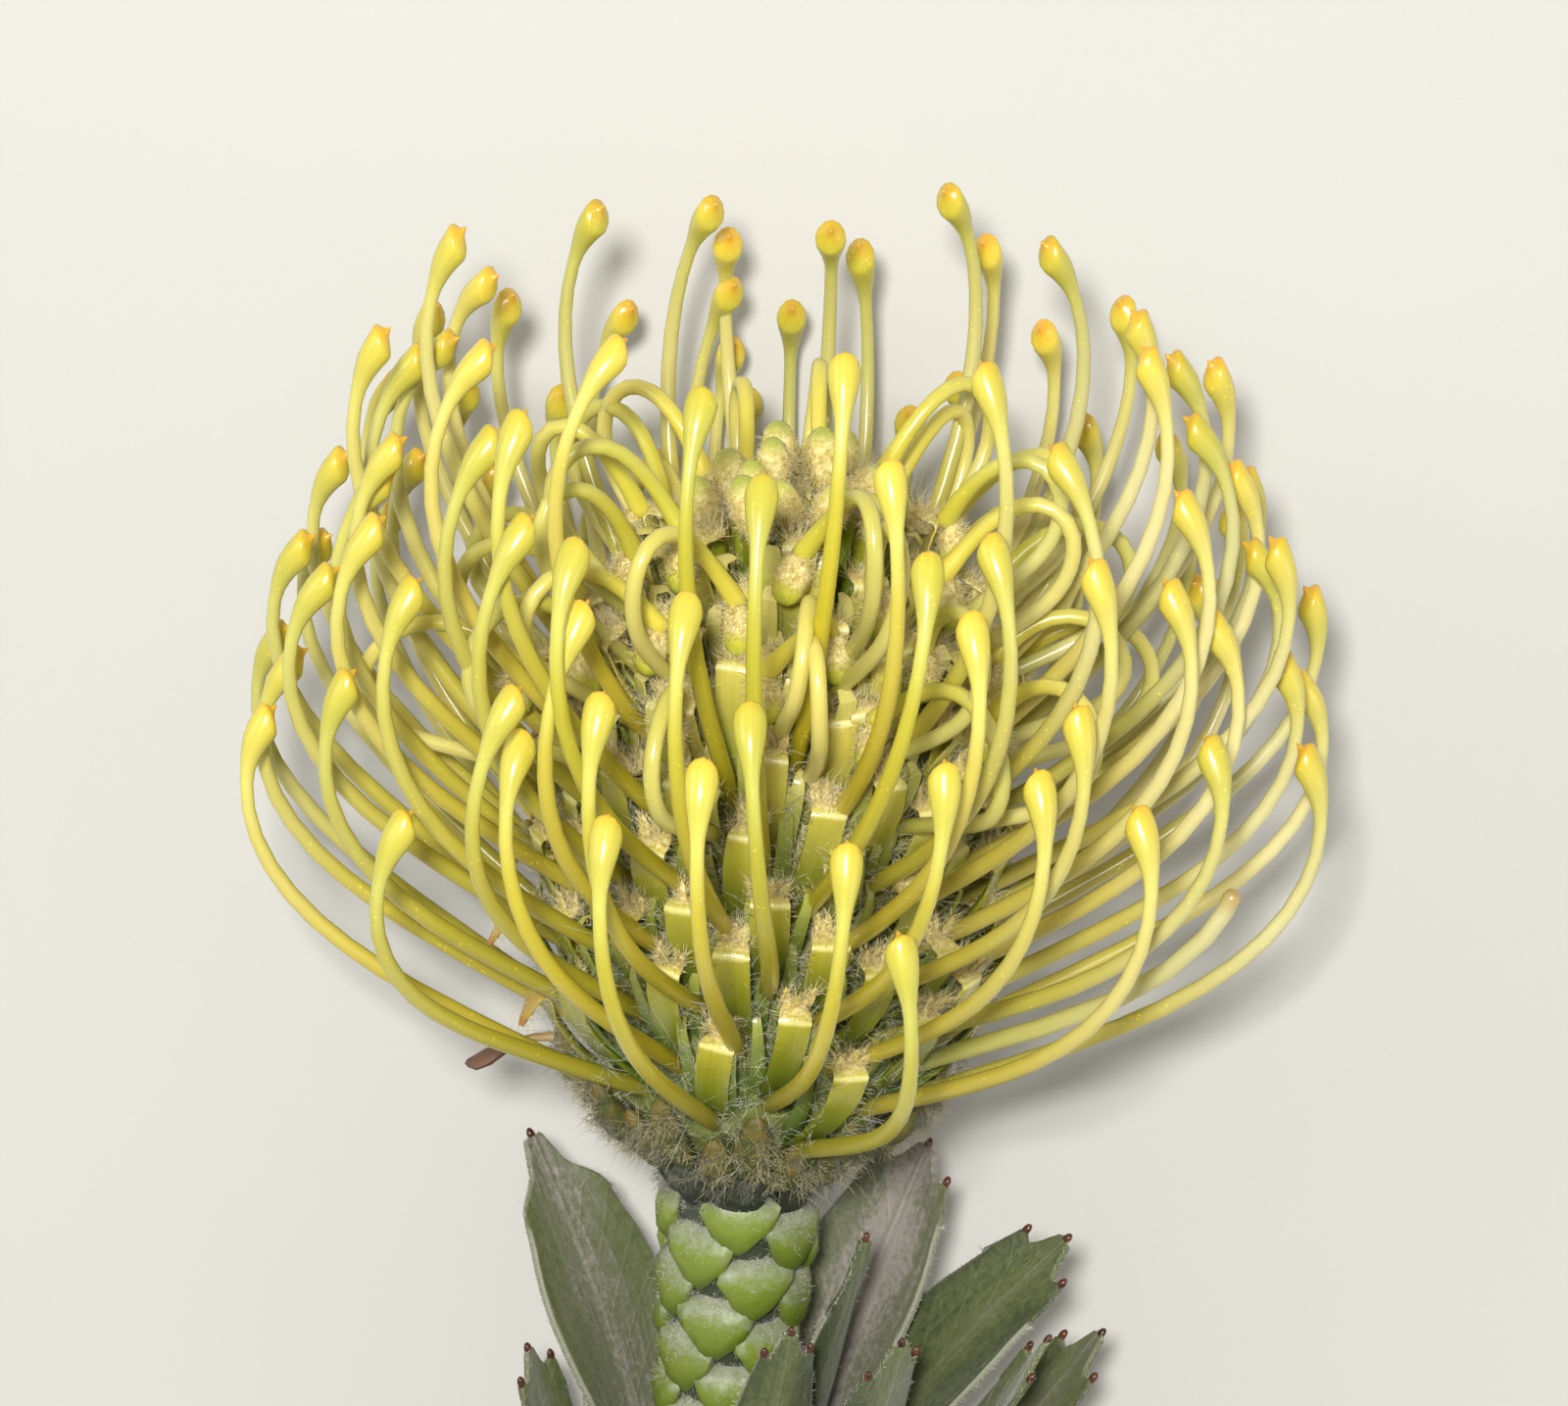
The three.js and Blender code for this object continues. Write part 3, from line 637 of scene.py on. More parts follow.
def bract_material(name, *stops):
    """Thin dry-edged green tissue under a coat of short hair, dull all over."""
    material = new_material(name)
    cloud = noise(material, object_place(material), 900, 6)
    level = calculate(material, "MULTIPLY_ADD", attribute(material, "along"), 0.5, cloud)
    return finish_material(material, {
        "Base Color": ramp(material, level, *stops), "Roughness": 0.65,
        "Normal": bump(material, cloud, 0.7, 0.5)})


rim_bract = bract_material("golden_haired_bract", (0.4, BRACT_GREEN), (0.75, BRACT_GOLD),
                           (1.0, BRACT_BROWN))
# Neck bracts: their dark paint is painted shade
neck_bract = bract_material("shade_darkened_neck_bract", (0.35, NECK_SHADE_DARK), (0.65, NECK_SHADED_GREEN),
                            (0.95, NECK_SHADED_EDGE))

bract_pattern = take_pattern(draw_up(12, [
    (0, 1.7, 0.6), (2, 2.4, 0.9), (4, 2.75, 1.1), (6, 2.75, 1.15), (8, 2.45, 1.05),
    (9.6, 1.95, 0.8), (10.8, 1.25, 0.5), (11.5, 0, 0)]))
shares = bract_pattern["points"][:, 2] / bract_pattern["length"]
# row: name, count, half turn, (radius, height) of its points from foot to tip, breadth, material
BRACT_ROWS = (
    ("neck_bracts", 9, 0.0, ((6.1, -3.4), (6.9, -1.4), (8.3, 0.7), (10.3, 2.3)), 1.0, neck_bract),
    ("rim_bracts", COLLAR, 0.5, ((8.0, 0.6), (10.8, 2.2), (13.2, 4.4), (14.6, 7.2)), 0.62, rim_bract),
    ("upper_bracts", COLLAR, 0.0, ((9.5, 1.9), (13.2, 4.8), (15.8, 8.0), (17.3, 11.0)), 0.62, rim_bract),
)
rim_roots = []
for row, (name, count, half_turn, corners, breadth, material) in enumerate(BRACT_ROWS):
    copies = []
    for k in range(count):
        azimuth = 2 * math.pi * (k + half_turn + 0.2 * sway(k, 8 + row)) / count
        slide = np.array((0, 0.7 * sway(k, 9 + row))) * np.array(((0,), (0,), (1,), (1,)))
        at = np.array(corners) + slide
        steps = np.linspace(0, 3, 19)
        line = place_round(np.interp(steps, range(4), at[:, 0]), azimuth,
                           np.interp(steps, range(4), at[:, 1]))
        copies.append(lay_along(bract_pattern["points"] * (breadth, 1, 1), line, tangent(azimuth)))
        rim_roots.append((azimuth, at, row))
    add_to_bloom(name, bract_pattern, copies, {"along": shares}, material)

golden_hair = hair_material("golden_floret_hair", "#E6D67E", "#FFF6D0", "#E6C86A")
silver_hair = hair_material("silver_floret_hair", "#7A8452", "#F2F0E0", "#C9C68C")
# The rim hair is dark towards its roots, partly its own colour and partly painted shade
rim_wool = hair_material("golden_green_rim_hair", "#3A3E16", "#DED29A", "#86742E")
# The neck hair is darkened all over with painted shade, like the neck bracts
neck_wool = hair_material("shade_darkened_neck_hair", "#3E4036", "#9C9C8C", "#6C6A50")
rng = np.random.default_rng(23)
tufts, neck_hairs = [], []
for azimuth, at, row in rim_roots:
    in_neck = row == 0
    # The hair bursts like small stars from points all over a bract
    for _ in range(BURSTS[row]):
        step = rng.uniform(0.3 if in_neck else 0.9, 3)
        radius, along = (np.interp(step, range(4), at[:, n]) for n in (0, 1))
        turn = azimuth + rng.uniform(-1, 1) * (2.4 if in_neck else 1.8) / radius
        burst = place_round(radius + 0.7, turn, along - 0.4)
        facing = place_round(0.8, turn, rng.uniform(-0.8, 0.4)) - HEAD_BASE
        silvery = in_neck or rng.uniform() < 0.25
        for _ in range(HAIRS_A_BURST):
            hair = (burst + 0.35 * rng.normal(size=3), facing + 0.7 * rng.normal(size=3),
                    rng.uniform(0.5, 1.5) if in_neck else rng.uniform(0.6, 1.9),
                    0.3 * rng.normal(size=3), rng.uniform())
            (neck_hairs if silvery else tufts).append(hair)
sow_hairs("rim_hair", "bloom", rim_wool, tufts, RIM_HAIR_HALF)
sow_hairs("neck_hair", "bloom", neck_wool, neck_hairs, NECK_HAIR_HALF)


# Floret straps
# The tube of each floret is a broad ribbon of thin waxy tissue, channelled along its outer face. It
# rises behind the style and folds sharply inwards at the top, where the fold catches the light and
# a band of pale cream is painted along it as a highlight.
SPIRAL_START = math.radians(20)
OPEN, LOOPS, BUDS = 104, 34, 14
CONE_RADIUS, CONE_TIP_RADIUS, CONE_HEIGHT = 9.0, 2.6, 40.0
# For the oldest and the youngest floret of a group: height, slope in degrees, length of its ribbons
OPEN_HEIGHTS, LOOP_HEIGHTS, BUD_HEIGHTS = (3, 30), (25, 37), (37.5, 39)
OPEN_SLOPES, LOOP_SLOPES, BUD_SLOPES = (30, 40), (48, 72), (74, 89)
STRAP_LENGTHS, NARROW_LENGTHS = (18.5, 25), (17, 24)
FLORET_LENGTH, LINE_STEPS = 25.0, 80
DOME_FIRST, DOME_LAST = 50, 110
STRAP_CREST, FOLD_END, STRAP_END = 22.0, 23.4, 27.0
FOLD_RADIUS, CHANNEL, FOLD_ARCH = 0.5, 0.34, 0.4
CHANNEL_HALF_WIDTH, CREST_HALF_WIDTH = 1.5, 1.6
DRY_TAB_EVERY, DRY_TAB_FIRST = 13, 2
LOBE_LENGTH = 2.2
STRAP_FOOT, STRAP_GREEN, STRAP_OLIVE, STRAP_YELLOW = "#5E7226", "#808B24", "#969527", "#ABA530"
# STRAP_CREST_HIGHLIGHT is a painted highlight along the fold of each ribbon
STRAP_CREST_HIGHLIGHT, STRAP_SHELF = "#D8D082", "#CDC282"
DRY_GREEN, DRY_GOLD, DRY_BROWN = "#97903A", "#B3A04A", "#A0743A"
POLLEN = "#F4E44A"
# Felted wool: FELT_SHADE_TAN is painted shade between its locks
FELT_SHADE_TAN, FELT_GOLD, FELT_CREAM = "#B29C4C", "#DCCA78", "#F6EAB0"


def mix(a, b, share):
    return a + (b - a) * share


def cone_radius(along):
    return mix(CONE_RADIUS, CONE_TIP_RADIUS, min(max(along / CONE_HEIGHT, 0), 1))


def floret(i):
    """Azimuth, height, slope in degrees, age within its group, and how far inside it opens."""
    azimuth = SPIRAL_START + i * GOLDEN
    if i < OPEN:
        age = (i + 0.5) / OPEN
        inner = min(max((age - 0.8) / 0.2, 0), 1)
        slope = mix(*OPEN_SLOPES, age ** 1.2) + 12 * inner + 3 * sway(i, 1)
        return azimuth, mix(*OPEN_HEIGHTS, age ** 0.95), slope, age, inner
    if i < OPEN + LOOPS:
        age = (i - OPEN + 0.5) / LOOPS
        slope = mix(*LOOP_SLOPES, age) + 4 * sway(i, 1)
        return azimuth, mix(*LOOP_HEIGHTS, age), slope, age, 1
    age = (i - OPEN - LOOPS + 0.5) / BUDS
    return azimuth, mix(*BUD_HEIGHTS, age), mix(*BUD_SLOPES, age), age, 1


def bent_line(i, length, slope, end_slope, lateness, turn=0.0):
    """A line that leaves the cone at one slope and bends to another, more so towards its end."""
    azimuth, along = floret(i)[:2]
    x = np.arange(LINE_STEPS) / LINE_STEPS
    slopes = np.radians(slope + (end_slope - slope) * (x + 0.5 / LINE_STEPS) ** lateness)
    step = length / LINE_STEPS
    radius = cone_radius(along) - 1 + np.concatenate(([0], np.cumsum(step * np.cos(slopes))))
    height = along + np.concatenate(([0], np.cumsum(step * np.sin(slopes))))
    return place_round(radius, azimuth + turn * np.linspace(0, 1, LINE_STEPS + 1) ** 2, height)


def folded(line, azimuth, fold_degrees, shelf, radius=FOLD_RADIUS):
    """The line led on over a fold, inwards where the angle is above 0, and along a flat shelf.
    Also gives the directions up the ribbon and inwards at the fold."""
    forward = unit(line[-1] - line[-3])
    inward = unit(np.cross(forward, tangent(azimuth)))
    to_side = math.copysign(1, fold_degrees) * inward
    angles = np.radians(np.linspace(0, abs(fold_degrees), 12))[1:, None]
    arc = line[-1] + radius * (np.sin(angles) * forward + (1 - np.cos(angles)) * to_side)
    heading = np.cos(angles[-1]) * forward + np.sin(angles[-1]) * to_side
    flat = arc[-1] + heading * shelf * np.linspace(0, 1, 6)[1:, None]
    return np.concatenate((line, arc, flat)), forward, inward, heading


def tissue(name, stops, roughness, relief_depth, subsurface=0.1, drift=0.2, pale_stops=None,
           pollen=0.0, felt=None):
    """Thin waxy plant tissue with fine lengthwise fibres: stops colour it from foot to tip, and
    pale_stops as far as its pale number says, which on young ribbons is their paleness and on
    styles is partly bleaching and partly painted light. Its own number makes each piece darker,
    paler or browner.
    Pollen above 0 dusts it with bright grains. Felt, a pair of places along it, covers it with
    matted cream wool from none at the first to all at the second."""
    material = new_material(name)
    spot = object_place(material)
    along, across, own = (attribute(material, key) for key in ("along", "across", "own"))
    cloud = noise(material, spot, 330, 4)
    level = calculate(material, "ADD", cloud, -0.5)
    level = calculate(material, "MULTIPLY_ADD", level, drift, along)
    paint = ramp(material, level, *stops)
    if pale_stops:
        pale_paint = ramp(material, level, *pale_stops)
        paint = blend(material, attribute(material, "pale"), paint, pale_paint)
    # Fibres lie about 0.25 mm apart across a ribbon and run its whole length
    seed = calculate(material, "MULTIPLY", own, 40)
    run = add_node(material, "CombineXYZ", {0: across, 1: along, 2: seed}).outputs[0]
    fibre = noise(material, run, 3.2, 3)
    streak = remap(material, fibre, (0.3, 0.7), (0.94, 1.04))
    value = calculate(material, "MULTIPLY", remap(material, own, (0, 1), (0.86, 1.1)), streak)
    hue = remap(material, own, (1, 0), (0.492, 0.506))
    paint = add_node(material, "HueSaturation", {"Hue": hue, "Value": value,
                                                 "Color": paint}).outputs[0]
    if pollen:
        # Grains of 0.1 to 0.2 mm, in drifts, one or two to the millimetre
        grain = remap(material, grains(material, spot, 1700), (0.22, 0.12), (0, pollen))
        drifts = remap(material, cloud, (0.5, 0.62))
        paint = blend(material, calculate(material, "MULTIPLY", grain, drifts), paint, POLLEN)
    height = fibre
    if felt:
        # The locks of the wool are a third of a millimetre wide, cream and gold, with painted shade of
        # tan between them
        lock = noise(material, spot, 1900, 5, 0.75)
        wool = ramp(material, lock, (0.36, FELT_SHADE_TAN), (0.5, FELT_GOLD), (0.62, FELT_CREAM))
        cover = remap(material, level, felt)
        paint = blend(material, cover, paint, wool)
        tangle = calculate(material, "MULTIPLY", lock, cover)
        height = calculate(material, "MULTIPLY_ADD", tangle, 6, fibre)
    return finish_material(material, {
        "Base Color": paint, "Roughness": roughness, "IOR": 1.6,
        "Normal": bump(material, height, 0.4, relief_depth), "Subsurface Weight": subsurface,
        "Subsurface Radius": (1.0, 0.9, 0.25), "Subsurface Scale": 1.2 * MM})


def tissue_values(pattern, owns, pales=None, radius=None):
    """The numbers that tissue() reads from all copies of a pattern. A round one has its radius."""
    x, y, z = pattern["points"].T
    across = x if radius is None else np.arctan2(y, x) * radius
    values = {"own": owns, "along": z / pattern["length"], "across": across}
    return values if pales is None else {**values, "pale": pales}


# Strap tissue: waxy and glossy like the skin of a bean, so folds and edges shine; the narrow pale
# cream band at the fold, in both sets of stops, is a painted highlight
strap_skin = tissue(
    "waxy_floret_ribbon",
    ((0.0, "#46632A"), (0.35, STRAP_FOOT), (0.58, STRAP_GREEN), (0.72, STRAP_OLIVE),
     (0.818, STRAP_YELLOW), (0.83, STRAP_CREST_HIGHLIGHT), (0.838, STRAP_CREST_HIGHLIGHT),
     (0.85, STRAP_YELLOW), (1.0, STRAP_SHELF)),
    roughness=0.22, relief_depth=0.12, drift=0.03, felt=(0.845, 0.875),
    pale_stops=((0.0, "#5C7434"), (0.35, "#929F42"), (0.58, "#B6B54E"), (0.72, "#C8BF58"),
                (0.818, "#D4C962"), (0.83, "#EEE8B0"), (0.838, "#EEE8B0"), (0.85, "#D4C962"),
                (1.0, STRAP_SHELF)))

# One straight ribbon: a tube-like foot, broadest at the fold, narrowing along the shelf
ribbon_pattern = take_pattern(draw_up(10, [
    (0, 1.15, 0.6), (4, 1.25, 0.55), (8, 1.35, 0.46), (12, 1.42, 0.38), (15, 1.5, 0.33),
    (18, 1.56, 0.3), (20, 1.6, 0.27), (21.2, 1.62, 0.25), (22, 1.62, 0.23), (22.35, 1.62, 0.22),
    (22.7, 1.62, 0.22), (23.05, 1.6, 0.22), (23.4, 1.56, 0.23), (24.3, 1.45, 0.26),
    (25.3, 1.25, 0.3), (26.4, 1.0, 0.3), (27, 0.7, 0.2)]))
ribbon = ribbon_pattern["points"]
open_channel = np.interp(ribbon[:, 2], (0, 6, 20, 22), (0, 1, 1, 0))
ribbon[:, 1] -= CHANNEL * open_channel * (ribbon[:, 0] / CHANNEL_HALF_WIDTH) ** 2
arch = FOLD_ARCH * (ribbon[:, 0] / CREST_HALF_WIDTH) ** 2
ribbon[:, 2] -= arch * np.interp(ribbon[:, 2], (12, 21, 27), (0, 1, 0.6))
# A dried ribbon has shrunk to a narrow tip
tab_taper = np.ones_like(ribbon)
tab_taper[:, 0] = np.interp(ribbon[:, 2], (STRAP_CREST, STRAP_END), (1, 0.4))


def dome_share(i):
    """How far up the dome floret i grows, from 0 low on the sides to 1 near the tip."""
    return min(max((i - DOME_FIRST) / (DOME_LAST - DOME_FIRST), 0), 1)


straps, tabs, crests = [], [], []
for i in range(OPEN + LOOPS):
    azimuth, _, slope, age, _ = floret(i)
    if i < OPEN:
        length = mix(*STRAP_LENGTHS, age ** 0.6) + 1.5 * sway(i, 6)
        line = bent_line(i, length, slope + 5, slope + 36, 2, 0.06 * sway(i, 11))
    else:
        length = FLORET_LENGTH + 1.5 * sway(i, 2) - 0.3
        line = bent_line(i, length, slope + 1, slope + 1, 1)
    dry = i < OPEN and i % DRY_TAB_EVERY == DRY_TAB_FIRST
    fold_degrees = -150 + 20 * sway(i, 13) if dry else 108 + 14 * sway(i, 13)
    shelf = 2.8 + 0.8 * sway(i, 12) if dry else 2.3 + 0.5 * sway(i, 12)
    line, up, inward, heading = folded(line, azimuth, fold_degrees, shelf)
    arc = FOLD_RADIUS * math.radians(abs(fold_degrees))
    marks = ((0, STRAP_CREST, FOLD_END, STRAP_END), (0, length, length + arc, length + arc + shelf))
    shaped = ribbon * np.array((1 + 0.12 * sway(i, 14), 1, 1)) * (tab_taper if dry else 1)
    laid = lay_along(shaped, line, tangent(azimuth), marks)
    (tabs if dry else straps).append((laid, share_draw(i, 15), dome_share(i)))
    crests.append((i, azimuth, line[LINE_STEPS], up, inward, line[-1], heading, dry))
copies, owns, pales = zip(*straps)
add_to_bloom("floret_straps", ribbon_pattern, copies, tissue_values(ribbon_pattern, owns, pales),
             strap_skin)

# A few older ribbons have dried golden brown and hang over outwards instead
dry_skin = tissue(
    "dried_golden_ribbon",
    ((0.0, "#3F5522"), (0.5, "#7E8434"), (0.75, DRY_GREEN), (0.86, DRY_GOLD), (1.0, DRY_BROWN)),
    roughness=0.38, relief_depth=0.25, drift=0.3)
copies, owns, _ = zip(*tabs)
add_to_bloom("dry_tabs", ribbon_pattern, copies, tissue_values(ribbon_pattern, owns), dry_skin)

# The narrow ribbons of each floret stand at its two sides and curl over at their ends. They are
# thin and shrunk on the older florets, broad and pale on the young ones of the dome.
narrow_skin = tissue(
    "waxy_narrow_ribbon",
    ((0.0, "#4A6426"), (0.45, "#667E34"), (0.75, "#7F8F3A"), (0.9, "#989C44"), (1.0, "#B0A658")),
    roughness=0.28, relief_depth=0.1,
    pale_stops=((0.0, "#5C7434"), (0.45, "#9DA748"), (0.75, "#C3C25E"), (0.9, "#D0C96E"),
                (1.0, "#D4C97A")))
pattern = take_pattern(draw_up(6, [
    (0, 0.8, 0.35), (6, 0.85, 0.33), (12, 0.92, 0.3), (16, 0.98, 0.26), (18.5, 1.0, 0.24),
    (20.5, 1.02, 0.22), (22, 1.0, 0.2), (23.2, 0.9, 0.18), (24.4, 0.65, 0.14), (25.2, 0.3, 0.08)]))
narrow = pattern["points"]
taper = np.interp(narrow[:, 2], (12, 22, 25.2), (1, 0.5, 0.35))
copies, owns, pales, curl_ends = [], [], [], []
for i in range(OPEN + LOOPS):
    azimuth, _, slope, age, _ = floret(i)
    for flank in (-1, 1):
        k = 2 * i + (flank > 0)
        length = mix(*NARROW_LENGTHS, age ** 0.6) if i < OPEN else FLORET_LENGTH - 2
        length += 2 * sway(k, 16)
        if i < OPEN:
            end_slope = slope + 38 + 12 * sway(k, 18)
            line = bent_line(i, length, slope + 8 + 3 * sway(k, 17), end_slope, 2.2)
        else:
            line = bent_line(i, length, slope - 2 + 4 * sway(k, 17), slope + 4, 2)
        shift = flank * (0.6 + 1.7 * np.linspace(0, 1, len(line)) ** 1.3)[:, None]
        line, up, _, _ = folded(line + shift * tangent(azimuth), azimuth, 130 + 60 * sway(k, 19),
                                0.5, 0.8)
        shrunk = narrow.copy()
        shrunk[:, 0] *= mix(taper, 1, dome_share(i))
        copies.append(lay_along(shrunk, line, tangent(azimuth)))
        owns.append(share_draw(k, 20))
        pales.append(dome_share(i))
        curl_ends.append((line[-6], up))
add_to_bloom("narrow_ribbons", pattern, copies, tissue_values(pattern, owns, pales), narrow_skin)

# The empty tip of each open floret has split into three flat woolly tongues behind the fold
lobe_skin = tissue(
    "woolly_golden_lobe", ((0.0, "#A89C48"), (0.5, "#BBAD60"), (1.0, "#C9BC7C")),
    roughness=0.5, relief_depth=0.5, felt=(-0.2, 0.2))
pattern = take_pattern(draw_up(6, [
    (0, 0.35, 0.2), (0.6, 0.48, 0.24), (1.2, 0.42, 0.2), (1.8, 0.24, 0.13), (LOBE_LENGTH, 0, 0)]))
lobe = pattern["points"]
copies, owns, lobes = [], [], []
for i, azimuth, _, up, inward, end, heading, dry in crests:
    if dry or i >= OPEN:
        continue
    for n in range(3):
        k = 3 * i + n
        side = (n - 1) * 0.75 + 0.25 * sway(k, 31)
        lie = unit(up + 0.3 * side * tangent(azimuth) + (0.1 + 0.35 * sway(k, 30)) * inward)
        start = end - heading * (1.3 + 0.6 * sway(k, 29)) + side * tangent(azimuth)
        line = start + lie * np.linspace(0, LOBE_LENGTH, 5)[:, None]
        copies.append(lay_along(lobe * (1 + 0.25 * sway(k, 32)), line, tangent(azimuth)))
        owns.append(share_draw(k, 33))
        lobes.append((line[0], lie, azimuth))
add_to_bloom("floret_lobes", pattern, copies, tissue_values(pattern, owns), lobe_skin)


# Open styles
# The pins of the cushion: stiff waxy stalks, olive where they stand close and paler where they
# stand free, partly bleached and partly painted light on the flanks of the bloom. Each has a fine
# neck and a club at its end, cut off slantwise to an orange point.
STYLE_LENGTH, STYLE_RADIUS, CLUB_RADIUS, BROKEN_STYLE = 61.0, 0.74, 1.34, 16
# For the oldest and the youngest style: slope of its end in degrees, how late it bends
STYLE_END_SLOPES, STYLE_LATENESS = (128, 124), (4.8, 3.4)
STUB_LENGTH, STUB_STEPS = 48, 64
PRESS, CURL, CLUB_SLANT, POINT_SHIFT = 2.0, 18.0, 0.55, 0.3
STYLE_OLIVE, STYLE_GOLD, STYLE_NECK = "#A6991E", "#C2B428", "#CFCB62"
STYLE_PALE, STYLE_CREAM = "#B8AE54", "#D0CA94"
CLUB_YELLOW, CLUB_LEMON, CLUB_AMBER, CLUB_ORANGE = "#C6BF4C", "#D1C448", "#D6BC38", "#D8A630"


def pressed(line, radii):
    """Bends a line of points up so that a round of those radii lies on the surface."""
    height = line[:, 2] - radii
    eased = np.where(height < -PRESS, 0, np.where(
        height < PRESS, (height + PRESS) ** 2 / (4 * PRESS), height))
    return np.column_stack((line[:, :2], radii + eased))


def bleached_and_lit_share(azimuth):
    """How pale a style is: olive in front, cream at the right, and between them elsewhere. The
    paleness is partly bleaching and partly painted light on the flanks of the bloom.
    """
    turn = math.sin(azimuth)
    side = 1.35 * turn if azimuth % (2 * math.pi) < math.pi else -0.75 * turn
    return min(max(side - 0.3, 0.6 if math.cos(azimuth) < 0 else 0), 1)


# Style wax: a smooth translucent stalk like a bean sprout, with a soft milky gloss
CLUB_STOPS = ((0.93, CLUB_YELLOW), (0.974, CLUB_LEMON), (0.985, CLUB_AMBER), (0.993, CLUB_ORANGE))
RIPE_CLUB_STOPS = ((0.93, "#C6BE5C"), (0.966, "#CFC24C"), (0.979, CLUB_AMBER), (0.994, "#D8A02C"))
style_wax = tissue(
    "waxy_yellow_style",
    ((0.0, "#787A24"), (0.25, STYLE_OLIVE), (0.6, STYLE_GOLD), (0.8, "#C2B83C"),
     (0.885, STYLE_NECK), *CLUB_STOPS),
    roughness=0.28, relief_depth=0.02, subsurface=0.3, drift=0.012, pollen=0.8,
    pale_stops=((0.0, "#848836"), (0.25, "#ABA148"), (0.5, STYLE_PALE), (0.72, STYLE_CREAM),
                (0.85, "#CAC484"), (0.89, "#CAC472"), *RIPE_CLUB_STOPS))

# One straight style with its neck, its pear-shaped club and its slanting pointed end
pin_pattern = take_pattern(draw_up(12, [
    (0, 0.8, 0.8), (6, 0.79, 0.79), (12, 0.78, 0.78), (18, 0.77, 0.77), (23, 0.76, 0.76),
    (28, 0.74, 0.74), (32, 0.73, 0.73), (36, 0.71, 0.71), (39.5, 0.69, 0.69), (43, 0.67, 0.67),
    (46, 0.64, 0.64), (49, 0.6, 0.6), (51.5, 0.57, 0.57), (53.8, 0.56, 0.56), (55, 0.64, 0.63),
    (55.9, 0.8, 0.79), (56.7, 0.97, 0.95), (57.5, 1.15, 1.12), (58.3, 1.28, 1.25),
    (58.9, CLUB_RADIUS, 1.3), (59.4, 1.33, 1.29), (59.65, 1.2, 1.16), (59.95, 0.82, 0.79),
    (60.2, 0.46, 0.44), (60.42, 0.28, 0.27), (60.7, 0.16, 0.16), (60.95, 0, 0)]))
pin = pin_pattern["points"]
# The club's end is cut slantwise, and its point stands towards the outer side
pin[:, 2] -= CLUB_SLANT * np.clip((pin[:, 2] - 57.5) / 2, 0, 1) * pin[:, 1]
pin[:, 1] -= POINT_SHIFT * np.clip((pin[:, 2] - 59.6) / 1.0, 0, 1)
pin_along = np.minimum(pin[:, 2] / STYLE_LENGTH, 1)
copies, owns, pales = [], [], []
for i in range(OPEN):
    azimuth, _, slope, age, inner = floret(i)
    length = STYLE_LENGTH + 1.5 * age - 3 * inner + 2 * sway(i, 3)
    end_slope = mix(*STYLE_END_SLOPES, age) + 12 * sway(i, 2) + CURL
    lateness = mix(*STYLE_LATENESS, age) + 0.6 * sway(i, 4)
    line = bent_line(i, length, slope, end_slope, lateness, math.radians(8) * sway(i, 5))
    line = pressed(line, np.interp(np.linspace(0, 1, len(line)), (0, 0.9, 0.96, 1),
                                   (0.82, 0.7, 1.36, 1.0)))
    if i == BROKEN_STYLE:
        broken_line = line
        continue
    copies.append(lay_along(pin, line, tangent(azimuth), ((0, STYLE_LENGTH), (0, length))))
    owns.append(share_draw(i, 7))
    # The style is paler on the flanks of the bloom: partly bleached, partly painted light
    pales.append(bleached_and_lit_share(azimuth))
pin_values = {**tissue_values(pin_pattern, owns, pales, STYLE_RADIUS), "along": pin_along}
add_to_bloom("open_styles", pin_pattern, copies, pin_values, style_wax, crease=180)

# One style has lost its club and ends in a blunt stub
stub_skin = tissue(
    "blunt_style_stub",
    ((0.0, "#8A8C34"), (0.5, "#BDB86A"), (0.95, STYLE_CREAM), (1.0, "#A98F55")),
    roughness=0.3, relief_depth=0.03, subsurface=0.15, drift=0.02)
pattern = take_pattern(draw_up(12, [
    (0, 0.86, 0.86), (12, 0.82, 0.82), (24, 0.8, 0.8), (32, 0.78, 0.78), (38, 0.76, 0.76),
    (43, 0.76, 0.76), (46, 0.78, 0.78), (47.3, 0.8, 0.8), (47.8, 0.66, 0.66),
    (STUB_LENGTH, 0.3, 0.3)]))
stub = pattern["points"]
stub_line = broken_line[:STUB_STEPS]
blunt_style = make_piece(
    "blunt_style", pattern, [lay_along(stub, stub_line, tangent(floret(BROKEN_STYLE)[0]))],
    tissue_values(pattern, [0.5]))
fit_out(blunt_style, "bloom", stub_skin)


# Looped styles
# Younger florets still hold the tip of their style, so the growing style bows out through the slit in
# a round hoop. It is the same waxy stalk, paler on the bow, and it swells yellow where it is held.
HOOP_LEAST_LEAN, HOOP_LEAST_PALE, HOOP_LENGTH, HOOP_STEPS = 3.0, 0.7, 44, 90
hoop_wax = tissue(
    "waxy_looped_style",
    ((0.0, "#7A862A"), (0.3, "#A49B28"), (0.5, "#BCB136"), (0.75, "#C2B73E"), (0.9, "#C9BF3E"),
     (1.0, "#D8CC4C")),
    roughness=0.28, relief_depth=0.02, subsurface=0.3, drift=0.04, pollen=0.8,
    pale_stops=((0.0, "#828A36"), (0.3, "#AFA94A"), (0.5, "#D6CF86"), (0.75, "#CFC76A"),
                (0.9, "#C9BF48"), (1.0, "#D8CC4C")))


